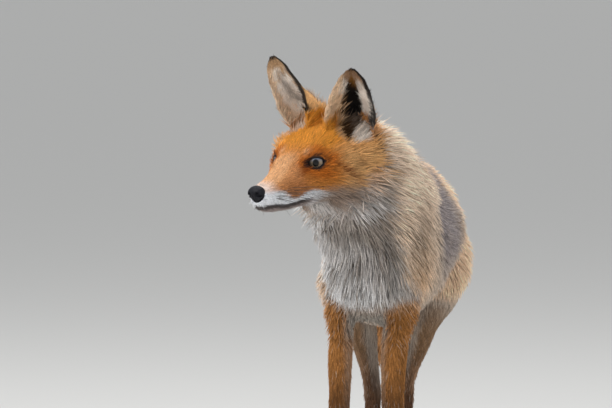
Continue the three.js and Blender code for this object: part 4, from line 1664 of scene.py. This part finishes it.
@dataclass
class Coat:
    """The fur: tufts rooted on the skin, laid along the body."""

    skin: Skin
    coat_map: CoatMap
    markings: Markings
    material: Material = field(default_factory=lambda: CoatFinish().make())
    random: np.random.Generator = field(default_factory=lambda: np.random.default_rng(11))
    total: int = 0

    PIECE_TRIANGLES = 190_000
    UV_PATCH = 0.003
    ROUNDNESS = 0.95
    FLOOR_ROOM = 1.0 * MM
    DRAWS = 2.4  # roots drawn for each cell, of which one is kept
    LOCK_SIZE = 9.0 * MM
    GOLDEN_TURN = 2.399963
    PALE_HAIR = srgb(226, 214, 200)

    def build(self) -> None:
        """Grow every zone's layers and cut them into pieces."""
        for zone in Zone:
            grown = [self._grow(zone, layer, self._roots(zone, layer)) for layer in LAYERS[zone]]
            self._pieces(zone, grown)
        LOG.info("coat: %d triangles", self.total)

    def _zone_faces(self, zone: Zone) -> Array:
        """The skin's triangles that carry a zone."""
        chosen = [name for name, rule in self.coat_map.rules.items() if rule.zone is zone]
        first = self.skin.nodes[self.skin.shell.triangles[:, 0]]
        return np.flatnonzero(self.coat_map.on(first, *chosen))

    def _roots(self, zone: Zone, layer: Layer) -> Roots:
        """Scatter roots over a zone about evenly.

        Args:
            zone: Which zone.
            layer: Which layer, for its spacing.

        Returns:
            The roots that no eye, mouth or nose keeps bare.
        """
        faces = self._zone_faces(zone)
        triangles = self.skin.shell.triangles[faces]
        corners = self.skin.shell.points[triangles]
        sides = corners[:, 1:] - corners[:, :1]
        area = np.linalg.norm(np.cross(sides[:, 0], sides[:, 1]), axis=1) / 2
        spacing = layer.spacing * MM
        count = int(area.sum() / spacing**2 * self.DRAWS)
        face = self.random.choice(len(faces), count, p=area / area.sum())
        a, b = self.random.random((2, count))
        over = a + b > 1
        a, b = np.where(over, 1 - a, a), np.where(over, 1 - b, b)
        shares = np.column_stack([1 - a - b, a, b])
        points = np.einsum("ij,ijk->ik", shares, corners[face])
        normals = np.einsum("ij,ijk->ik", shares, self.skin.normals[triangles[face]])
        _, kept = np.unique(cell_keys(points, spacing), return_index=True)
        kept = kept[self._furred(points[kept])]
        nodes = self.skin.nodes[triangles[face[kept], 0]]
        return Roots(points[kept], unit(normals[kept]), nodes, self.coat_map.at(points[kept]))

    def _furred(self, points: Array) -> Array:
        """Whether each place carries hair: not in the eyes, on the lids' edge, nose or lips."""
        local = HEAD.to_local(points)
        off_eyes = self.markings.eye_ring(points) > 1.3
        off_nose = np.linalg.norm((local - HEAD_PLAN.nose) / (9.6, 8.0, 9.4), axis=1) > 1
        off_mouth = (Markings.mouth_distance(local[:, 1], local[:, 2]) > 0.7) | (local[:, 1] > -12.0)
        above_floor = points[:, 2] > 2.5 * MM
        return off_eyes & off_nose & off_mouth & above_floor

    def _way(self, zone: Zone, roots: Roots, layer: Layer) -> Array:
        """The direction each tuft lies in, along the skin, with a little disorder."""
        flow = self._ear_flow(roots) if zone is Zone.EARS else roots.rule["flow"]
        along = flow - np.einsum("ij,ij->i", flow, roots.normals)[:, None] * roots.normals
        along = unit(along + 1e-5)
        across = np.cross(roots.normals, along)
        turn = np.radians(self.random.normal(0.0, layer.spread, len(along)))[:, None]
        return along * np.cos(turn) + across * np.sin(turn)

    def _ears(self, roots: Roots) -> Iterator[tuple[float, Array, Array, tuple[Array, ...]]]:
        """Take the ears in turn.

        Args:
            roots: Where the tufts grow.

        Yields:
            An ear's side, which roots are on it, their places in the head frame, and their
            height, place across and face, as EarPlace gives them.
        """
        for side, name in EARS.items():
            on_ear = self.coat_map.on(roots.nodes, name)
            local = HEAD.to_local(roots.points[on_ear])
            facing = HEAD.directions(roots.normals[on_ear])
            yield side, on_ear, local, EarPlace(side).measure(local, facing)

    def _ear_flow(self, roots: Roots) -> Array:
        """Ear hair runs to the tip, and inside the cup in from both edges."""
        flow = np.zeros_like(roots.points)
        for side, on_ear, local, (_, across, face) in self._ears(roots):
            root = np.array(HEAD_PLAN.ear_root[side])
            axis = unit(np.array(HEAD_PLAN.ear_tip[side]) - root)
            inwards = np.array([-side, 0.0, 0.0]) * np.clip(across, -1, 1)[:, None]
            way = axis + 0.9 * inwards * ramp(0, 0.4, face)[:, None]
            height = (local - root) @ axis / 85.0
            low = ramp(0.1, -0.3, face) * ramp(0.8, 0.3, height)
            way = way + np.array([0.0, 1.3, -0.5]) * low[:, None]
            flow[on_ear] = HEAD.out(way)
        return flow

    def _grow(self, zone: Zone, layer: Layer, roots: Roots) -> Tufts:
        """Shape one layer's tufts.

        Args:
            zone: The zone, for the ears' own lie.
            layer: The layer's shares.
            roots: Where the tufts grow.

        Returns:
            The tufts.
        """
        count = len(roots.points)
        random = self.random
        length = roots.rule["length"] * layer.length * random.uniform(0.75, 1.2, count)
        width = roots.rule["width"] * layer.width * random.uniform(0.75, 1.25, count)
        if zone is Zone.EARS:
            length = self._ear_lengths(roots, length)
        rise = roots.rule["depth"] * layer.lift * random.uniform(0.75, 1.15, count) / length
        rise = np.arcsin(np.clip(rise * layer.length, 0.05, 0.85))
        way = self._way(zone, roots, layer)
        across = np.cross(roots.normals, way)
        sway = random.normal(0.0, 0.1, count)
        stops = (*layer.stations, 1.0)
        spine = [roots.points - roots.normals * (0.35 * MM + 0.08 * width[:, None])]
        slopes = []
        previous = 0.0
        for stop in stops:
            angle = rise * (1.45 - 0.95 * (previous + stop) / 2)
            step = way * np.cos(angle)[:, None] + roots.normals * np.sin(angle)[:, None]
            step = step + across * (sway * stop)[:, None]
            spine.append(spine[-1] + unit(step) * (length * (stop - previous))[:, None])
            slopes.append(unit(step))
            previous = stop
        spine = self._clumped(roots, spine, stops)
        return self._slivers(layer, roots, spine, slopes, across, width)

    def _ear_lengths(self, roots: Roots, length: Array) -> Array:
        """Longer hair inside the cup, most of all at its edges, and short hair on the rim."""
        for _, on_ear, _, (height, across, face) in self._ears(roots):
            edge = ramp(0.3, 0.6, np.abs(across)) * ramp(0.85, 0.6, height)
            grown = 1 + ramp(0, 0.3, face) * (0.5 + 1.2 * edge)
            grown += 0.7 * ramp(-0.1, -0.5, face) * ramp(0.6, 0.25, height)
            rim = ramp(0.72, 0.95, np.abs(across)) * ramp(0, 0.2, height)
            grown *= 1 - 0.55 * np.maximum(rim, ramp(0.82, 0.95, height))
            length[on_ear] *= grown
        return length

    def _clumped(self, roots: Roots, spine: list[Array], stops: tuple[float, ...]) -> list[Array]:
        """Draw neighbouring tips together into locks.

        Args:
            roots: Where the tufts grow.
            spine: Every tuft's places from root to tip.
            stops: How far along the tuft each place after the root is.

        Returns:
            The spine, moved most at its tip.
        """
        share = roots.rule["clump"]
        if share.max() < 0.02:
            return spine
        jitter = PatchNoise(19, 14.0).at(roots.points)[:, None] * self.LOCK_SIZE
        keys = cell_keys(roots.points + jitter, self.LOCK_SIZE)
        _, group = np.unique(keys, return_inverse=True)
        number = np.bincount(group)
        tips = spine[-1]
        mean = np.column_stack([np.bincount(group, tips[:, i]) / number for i in range(3)])
        pull = (mean[group] - tips) * share[:, None]
        moved = [spine[0]]
        for stop, points in zip(stops, spine[1:]):
            moved.append(points + pull * stop**1.6)
        return moved

    def _slivers(
        self,
        layer: Layer,
        roots: Roots,
        spine: list[Array],
        slopes: list[Array],
        across: Array,
        width: Array,
    ) -> Tufts:
        """Skin each spine with three-cornered rings, and colour and map the result.

        Args:
            layer: The layer's shares.
            roots: Where the tufts grow.
            spine: Every tuft's root, then its place at each station and at its tip.
            slopes: The way each stretch of the spine runs.
            across: The direction square to each tuft, along the skin.
            width: Each tuft's width.

        Returns:
            The tufts.
        """
        count = len(roots.points)
        per = 2 + 3 * len(layer.stations)
        points = np.zeros((count, per, 3))
        points[:, 0] = spine[0]
        points[:, -1] = spine[-1]
        normals = np.repeat(roots.normals[:, None], per, 1)
        # Darker at the root with the under-fur and painted shade deep in the coat, lighter to the tip.
        shade = np.zeros((count, per))
        shade[:, 0] = layer.root_underfur_and_painted_shade
        shade[:, -1] = layer.tip_shade
        for i, stop in enumerate(layer.stations):
            ridge = np.cross(slopes[i], across)
            ridge = np.where(np.einsum("ij,ij->i", ridge, roots.normals)[:, None] < 0, -ridge, ridge)
            half = width[:, None] * (0.5 if i == 0 else 0.38)
            ways = (-across - 0.25 * ridge, across - 0.25 * ridge, 0.7 * ridge)
            for corner, way in enumerate(ways):
                points[:, 1 + 3 * i + corner] = spine[i + 1] + way * half
                normals[:, 1 + 3 * i + corner] += unit(way) * self.ROUNDNESS
            level = layer.root_underfur_and_painted_shade + (layer.tip_shade - layer.root_underfur_and_painted_shade) * stop**0.7
            shade[:, 1 + 3 * i : 4 + 3 * i] = level
        rise = points[..., 2] - self.FLOOR_ROOM
        points[..., 2] = self.FLOOR_ROOM + np.where(rise < 0, 0.08 * rise, rise)
        colours = self._tuft_colours(layer, roots, shade)
        places = self._bake_places(roots, per)
        return Tufts(points, unit(normals), colours, places, len(layer.stations))

    def _tuft_colours(self, layer: Layer, roots: Roots, shade: Array) -> Array:
        """Each tuft's own colour: darker at its root, by under-fur and painted shade, lighter at its tip.
        """
        count = len(roots.points)
        base = self.markings.paint(roots.points, roots.normals, roots.nodes)
        base = base * np.exp(self.random.normal(0.0, 0.17, count))[:, None]
        draw = self.random.random(count)
        dark = draw < layer.dark_share
        pale = draw > 1.0 - layer.pale_share
        base = np.where(dark[:, None], base * layer.dark_tint, base)
        lighter = base * 0.75 + 0.25 * np.maximum(base, self.PALE_HAIR)
        base = np.where(pale[:, None], lighter, base)
        return base[:, None, :] * shade[:, :, None]

    def _bake_places(self, roots: Roots, per: int) -> Array:
        """Each tuft's small patch at its root's place on an unwrap of the skin."""
        centre = self._unwrap(roots)
        angles = np.arange(per) * self.GOLDEN_TURN
        ring = np.column_stack([np.cos(angles), np.sin(angles)]) * self.UV_PATCH / 2
        return centre[:, None, :] + ring[None]

    def _unwrap(self, roots: Roots) -> Array:
        """Roll a zone's skin out flat.

        Args:
            roots: The roots of one layer in the zone.

        Returns:
            Their places on the flat skin, from 0.02 to 0.98 each way.
        """
        zone = self.coat_map.rules[self.coat_map.names[roots.nodes[0]]].zone
        points = roots.points
        if zone in (Zone.FORELEGS, Zone.HINDLEGS):
            side = points[:, 0] > self.markings.chest[0] * MM
            middles = [points[side == which, :2].mean(0) for which in (False, True)]
            offset = points[:, :2] - np.array(middles)[side.astype(int)]
            u = (self._turn(offset) + side) / 2
            v = points[:, 2]
        elif zone is Zone.EARS:
            u, v = np.zeros(len(points)), np.zeros(len(points))
            for side, on_ear, _, (height, across, face) in self._ears(roots):
                column = (0 if side == LEFT else 2) + (face > 0)
                u[on_ear] = (np.clip(across, -1.4, 1.4) / 2.8 + 0.5 + column) / 4
                v[on_ear] = height
        else:
            local = HEAD.to_local(points) if zone is Zone.FACE else points / MM
            u = self._turn(local[:, [0, 2]] - self._spine_middle(local))
            v = local[:, 1]
        v = (v - v.min()) / max(v.max() - v.min(), 1e-9)
        return 0.02 + 0.96 * np.column_stack([u, v])

    @staticmethod
    def _turn(offset: Array) -> Array:
        """Which way offsets point, from 0 to 1 round the whole turn."""
        return np.arctan2(offset[:, 0], offset[:, 1]) / (2 * math.pi) + 0.5

    @staticmethod
    def _spine_middle(local: Array) -> Array:
        """The middle of the body at each place along it, as x and z."""
        stops = np.linspace(local[:, 1].min(), local[:, 1].max(), 12)
        middles = []
        for stop in stops:
            near = np.abs(local[:, 1] - stop) < (stops[1] - stops[0])
            chosen = local[near] if near.any() else local
            middles.append(chosen[:, [0, 2]].mean(0))
        middles = np.array(middles)
        return np.column_stack([np.interp(local[:, 1], stops, middles[:, i]) for i in range(2)])

    def _pieces(self, zone: Zone, grown: list[Tufts]) -> None:
        """Cut a zone's tufts into pieces below the size limit."""
        faces = sum(6 * tufts.rings * len(tufts.points) for tufts in grown)
        parts = math.ceil(faces / self.PIECE_TRIANGLES)
        for part in range(parts):
            chosen = [tufts.part(part / parts, (part + 1) / parts) for tufts in grown]
            shell = joined([tufts.shell() for tufts in chosen])
            label, slot = zone.value
            name = f"coat_{label}" + (f"_{part + 1}" if parts > 1 else "")
            piece = new_piece(name, shell, self.material)
            paint_points(piece, np.vstack([t.colours.reshape(-1, 3) for t in chosen]))
            places = np.vstack([t.places.reshape(-1, 2) for t in chosen])
            layer = piece.data.uv_layers.new(name=UV_NAME)
            layer.uv.foreach_set("vector", places[shell.triangles.ravel()].astype(np.float32).ravel())
            soften(piece, np.vstack([t.normals.reshape(-1, 3) for t in chosen]))
            self.total += len(shell.triangles)


# ---------------------------------------------------------------- eyes, nose, claws, whiskers


def capped_rings(rings: int, sides: int) -> Array:
    """The triangles of a row of rings, closed by one point at each end.

    Args:
        rings: How many rings, whose points come first.
        sides: How many points each ring has.

    Returns:
        Three point numbers for each triangle; the two end points come last.
    """
    faces = []
    for start in range(0, (rings - 1) * sides, sides):
        for j in range(sides):
            a, b = start + j, start + (j + 1) % sides
            faces += [(a, a + sides, b), (b, a + sides, b + sides)]
    first, last = rings * sides, rings * sides + 1
    end = (rings - 1) * sides
    for j in range(sides):
        k = (j + 1) % sides
        faces += [(first, j, k), (last, end + k, end + j)]
    return np.array(faces)


def tube(path: Array, radii: Array, sides: int) -> Shell:
    """A closed round tube along a path.

    Args:
        path: Points along the middle.
        radii: The radius at each point.
        sides: How many sides.

    Returns:
        The tube with both ends closed.
    """
    along = unit(np.gradient(path, axis=0))
    guide = np.array([0.0, 0.0, 1.0]) if abs(along[0, 2]) < 0.9 else np.array([1.0, 0.0, 0.0])
    first = unit(np.cross(along, guide))
    second = np.cross(along, first)
    turn = np.linspace(0, 2 * math.pi, sides, endpoint=False)
    ring = first[:, None] * np.cos(turn)[None, :, None] + second[:, None] * np.sin(turn)[None, :, None]
    points = (path[:, None] + ring * radii[:, None, None]).reshape(-1, 3)
    points = np.vstack([points, path[:1], path[-1:]])
    return Shell(points, capped_rings(len(path), sides)).facing_out()


@dataclass
class Eye:
    """One eyeball with its clear bulge, and the dark edge of its lids."""

    side: float
    rings: int = 72
    spokes: int = 96
    bulge: float = 0.9
    rim_radius: float = 1.1
    look_down: float = 0.8

    def build(self, material: Material) -> Object:
        """Make the ball, which stands for its CAD node."""
        name = "eye_left" if self.side == LEFT else "eye_right"
        radius = HEAD_PLAN.eye_radius
        polar = np.linspace(0.0, math.pi, self.rings + 1)[1:-1]
        turn = np.linspace(0, 2 * math.pi, self.spokes, endpoint=False)
        reach = radius + self.bulge * ramp(0.95, 0.35, polar)
        across = (reach * np.sin(polar))[:, None] * np.cos(turn)
        up = (reach * np.sin(polar))[:, None] * np.sin(turn)
        out = np.repeat((reach * np.cos(polar))[:, None], self.spokes, 1)
        local = np.stack([across, out, up], -1).reshape(-1, 3)
        local = np.vstack([local, [[0, radius + self.bulge, 0], [0, -radius, 0]]])
        faces = capped_rings(len(polar), self.spokes)
        shell = Shell(EYES[self.side].to_world(local), faces).facing_out()
        piece = new_piece(f"{name}_ball", shell, material)
        place = piece.data.attributes.new(IRIS_NAME, "FLOAT_VECTOR", "POINT")
        flat = np.column_stack([local[:, 0], local[:, 2] + self.look_down, 0 * local[:, 0]])
        flat[local[:, 1] < 0] = (radius, 0.0, 0.0)
        place.data.foreach_set("vector", flat.astype(np.float32).ravel())
        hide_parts(name)
        return piece

    def rim(self) -> Shell:
        """The lids' moist edge, a thin tube round the opening."""
        flat = LIDS.rim(96)
        radius = HEAD_PLAN.eye_radius + 0.55
        out = np.sqrt(np.clip(radius**2 - (flat**2).sum(1), 1.0, None))
        path = np.column_stack([flat[:, 0], out, flat[:, 1]])
        path = np.vstack([path, path[:2]])
        return tube(EYES[self.side].to_world(path), np.full(len(path), self.rim_radius * MM), 10)


@dataclass
class Nose:
    """The nose pad: rounded wings, comma nostrils and a groove down the middle.

    The masses lie from the pad's middle, and those of the left side stand for both.
    """

    cell: float = 0.3 * MM
    reach: float = 14 * MM
    pad: Mass = Mass((0.0, 0.6, 0.6), (8.2, 7.4, 7.4))
    wing: Mass = Mass((4.6, 0.6, 0.2), (4.4, 6.4, 5.6))
    lip: Mass = Mass((0.0, 1.4, -5.2), (4.4, 5.2, 4.6))
    nostril: Mass = Mass((4.7, -6.4, -0.6), (2.1, 3.4, 2.5))
    slit: Mass = Mass((7.2, -4.2, -2.2), (2.9, 3.2, 0.9))
    groove_depth: float = 0.8
    groove_width: float = 0.55

    def build(self, material: Material) -> Object:
        """Carve the pad from rounded masses; it stands for its CAD node."""
        middle = HEAD.to_world(HEAD_PLAN.nose)
        block = Block.empty(middle - self.reach, middle + self.reach, self.cell)
        x, y, z = (place - start for place, start in zip(block.local(HEAD), HEAD_PLAN.nose))
        side = np.abs(x)
        shape = soft_union(self.pad.distance(x, y, z), self.wing.distance(side, y, z), 1.6)
        shape = soft_union(shape, self.lip.distance(x, y, z), 1.8)
        hole = soft_union(self.nostril.distance(side, y, z), self.slit.distance(side, y, z), 0.7)
        shape = -soft_union(-shape, hole, 0.8)
        groove = self.groove_depth * np.exp(-((side / self.groove_width) ** 2))
        groove = groove * ramp(0.5, -2.5, z) * (y < 0)
        block.values = ((shape + groove) * MM).astype(np.float32)
        piece = new_piece("nose_pad", block.surface(0.0, 0.0), material)
        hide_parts("nose")
        return piece


@dataclass
class Claws:
    """Four curved claws on each paw."""

    length: float = 11.0
    radius: float = 1.8
    shares: tuple[float, ...] = (-0.72, -0.26, 0.26, 0.72)
    ahead: tuple[float, ...] = (-8.0, 0.0, 0.0, -8.0)
    set_back: float = 14.0
    height: float = 7.5
    paw_inset: float = 1.12

    def build(self) -> Object:
        """Make all the claws as one piece."""
        shells = []
        for name in ("forepaw_left", "forepaw_right", "hindpaw_left", "hindpaw_right"):
            low, high = (np.array(v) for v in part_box(name))
            middle = (low[0] + high[0]) / 2
            half = (high[0] - low[0]) / 2 / self.paw_inset
            for share, ahead in zip(self.shares, self.ahead):
                front = low[1] + (self.set_back - ahead) * MM
                root = np.array([middle + share * half, front, self.height * MM])
                shells.append(self._claw(root, share))
        material = HornFinish("claw_horn", (0.035, 0.028, 0.022)).make()
        return new_piece("claws", joined(shells), material)

    def _claw(self, root: Array, share: float) -> Shell:
        """One claw that curves down to its point."""
        t = np.linspace(0.0, 1.0, 10)
        out = unit(np.array([share * 0.22, -1.0, 0.0]))
        drop = -0.42 * t**2 + 0.1 * t
        path = root + (out * t[:, None] + np.array([0, 0, 1.0]) * drop[:, None]) * self.length * MM
        radii = self.radius * MM * (1 - t**1.5 * 0.94)
        return tube(path, radii, 10)


@dataclass
class Whiskers:
    """Stiff whiskers on the lips and chin, in the head frame's millimetres."""

    rows: int = 4
    columns: int = 5
    side: float = 30.0
    front: float = -62.0
    column_step: float = 7.0
    bottom: float = -35.5
    row_step: float = 4.2
    bend: float = 0.28

    def build(self, skin_tree: BVHTree) -> Object:
        """Set each whisker on the skin and bend it back."""
        shells = []
        random = np.random.default_rng(5)
        for side in SIDES:
            for row in range(self.rows):
                for column in range(self.columns):
                    along = self.front + self.column_step * column
                    place = np.array([side * self.side, along, self.bottom + self.row_step * row])
                    way = np.array([side * 0.75, 0.35 + 0.12 * column, -0.25 + 0.1 * row])
                    length = 17.0 + 5.5 * column + random.uniform(-2, 3)
                    shells.append(self._whisker(skin_tree, place, way, length))
            place = np.array([side * self.side, -48.0, -46.0])
            shells.append(self._whisker(skin_tree, place, np.array([side * 0.35, 0.3, -0.9]), 15.0))
        material = HornFinish("whisker_hair", (0.03, 0.024, 0.02)).make()
        return new_piece("whiskers", joined([s for s in shells if s]), material)

    def _whisker(self, tree: BVHTree, place: Array, way: Array, length: float) -> Shell | None:
        """One whisker from the skin nearest a place, or none where there is no skin."""
        start = tree.find_nearest(Vector(HEAD.to_world(place)))[0]
        if start is None:
            return None
        t = np.linspace(0.0, 1.0, 8)
        along = HEAD.out(unit(way))
        back = HEAD.out(np.array([0.0, 1.0, -0.5]))
        bend = along * t[:, None] + back * (self.bend * t**2)[:, None]
        path = np.array(start) + bend * length * MM
        return tube(path, (0.22 - 0.17 * t) * MM, 5)


# ---------------------------------------------------------------- studio


@dataclass
class Studio:
    """Floor, lights and camera.

    The camera sees focus, a place on the floor between the forefeet, at foot_pixel, which
    lies below the picture's lower edge.
    """

    focus: Place = (0.009134, -0.241224, 0.0)
    azimuth: float = 8.0
    elevation: float = 3.0
    distance: float = 6.0
    pixels_per_metre: float = 960.0
    picture: tuple[int, int] = (612, 408)
    foot_pixel: tuple[float, float] = (365.4, 522.0)
    floor_half: float = 40.0

    def build(self) -> None:
        """Make everything round the fox."""
        self._floor()
        self._lights()
        self._camera()

    def _floor(self) -> None:
        """A wide pale floor under the feet."""
        half = self.floor_half
        corners = [(-half, -half, 0.0), (half, -half, 0.0), (half, half, 0.0), (-half, half, 0.0)]
        mesh = bpy.data.meshes.new("floor")
        mesh.from_pydata(corners, [], [(0, 1, 2, 3)])
        mesh.materials.append(FloorFinish().make())
        floor = bpy.data.objects.new("floor", mesh)
        bpy.context.scene.collection.objects.link(floor)

    def _lights(self) -> None:
        """A broad light overhead, a softer one on each side, and a pale room."""
        self._lamp("key", (-1.5, -1.7, 2.3), 2.2, 48.0, (1.0, 0.985, 0.96))
        self._lamp("top", (0.0, 0.3, 2.6), 2.4, 34.0, (0.96, 0.98, 1.0))
        self._lamp("fill", (2.2, -2.2, 1.2), 2.4, 9.0, (1.0, 0.99, 0.97))
        world = bpy.data.worlds.new("room")
        world.use_nodes = True
        shade = world.node_tree.nodes["Background"]
        shade.inputs["Color"].default_value = (0.86, 0.88, 0.9, 1.0)
        shade.inputs["Strength"].default_value = 0.74
        bpy.context.scene.world = world

    @staticmethod
    def _lamp(name: str, place: tuple, size: float, power: float, colour: tuple) -> None:
        """A square area light that faces the fox."""
        data = bpy.data.lights.new(name, "AREA")
        data.shape = "SQUARE"
        data.size = size
        data.energy = power
        data.color = colour
        lamp = bpy.data.objects.new(name, data)
        lamp.location = place
        towards = Vector((0.0, -0.1, 0.3)) - Vector(place)
        lamp.rotation_mode = "QUATERNION"
        lamp.rotation_quaternion = towards.to_track_quat("-Z", "Y")
        bpy.context.scene.collection.objects.link(lamp)

    def _camera(self) -> None:
        """A long lens a little above the fox's back, framed on its head and chest."""
        azimuth, elevation = math.radians(self.azimuth), math.radians(self.elevation)
        level = math.cos(elevation)
        back = Vector((math.sin(azimuth) * level, -math.cos(azimuth) * level, math.sin(elevation)))
        right = Vector((math.cos(azimuth), math.sin(azimuth), 0.0))
        up = back.cross(right)
        width, height = self.picture
        aside = (self.foot_pixel[0] - width / 2) / self.pixels_per_metre
        above = (self.foot_pixel[1] - height / 2) / self.pixels_per_metre
        target = Vector(self.focus) - right * aside + up * above
        data = bpy.data.cameras.new("camera")
        data.sensor_width = 36.0
        data.lens = self.pixels_per_metre * self.distance * data.sensor_width / width
        data.dof.use_dof = False
        camera = bpy.data.objects.new("camera", data)
        camera.location = target + back * self.distance
        camera.rotation_mode = "QUATERNION"
        camera.rotation_quaternion = (-back).to_track_quat("-Z", "Y")
        bpy.context.scene.collection.objects.link(camera)
        bpy.context.scene.camera = camera


def main() -> None:
    """Build the fox and its studio, and note the sizes."""
    logging.basicConfig(level=logging.INFO, format="%(name)s %(message)s", force=True)
    scene = bpy.context.scene
    scene.view_settings.view_transform = "Standard"
    coat_map = CoatMap()
    markings = Markings(coat_map)
    Studio().build()
    skin = Skin(coat_map, markings)
    skin.build()
    eye_material = EyeFinish().make()
    leather = LeatherFinish().make()
    eyes = [Eye(side) for side in SIDES]
    for eye in eyes:
        eye.build(eye_material)
    new_piece("lid_edges", joined([eye.rim() for eye in eyes]), leather)
    Nose().build(leather)
    Claws().build()
    Whiskers().build(skin.shell.tree())
    Coat(skin, coat_map, markings).build()


if __name__ == "__main__":
    main()
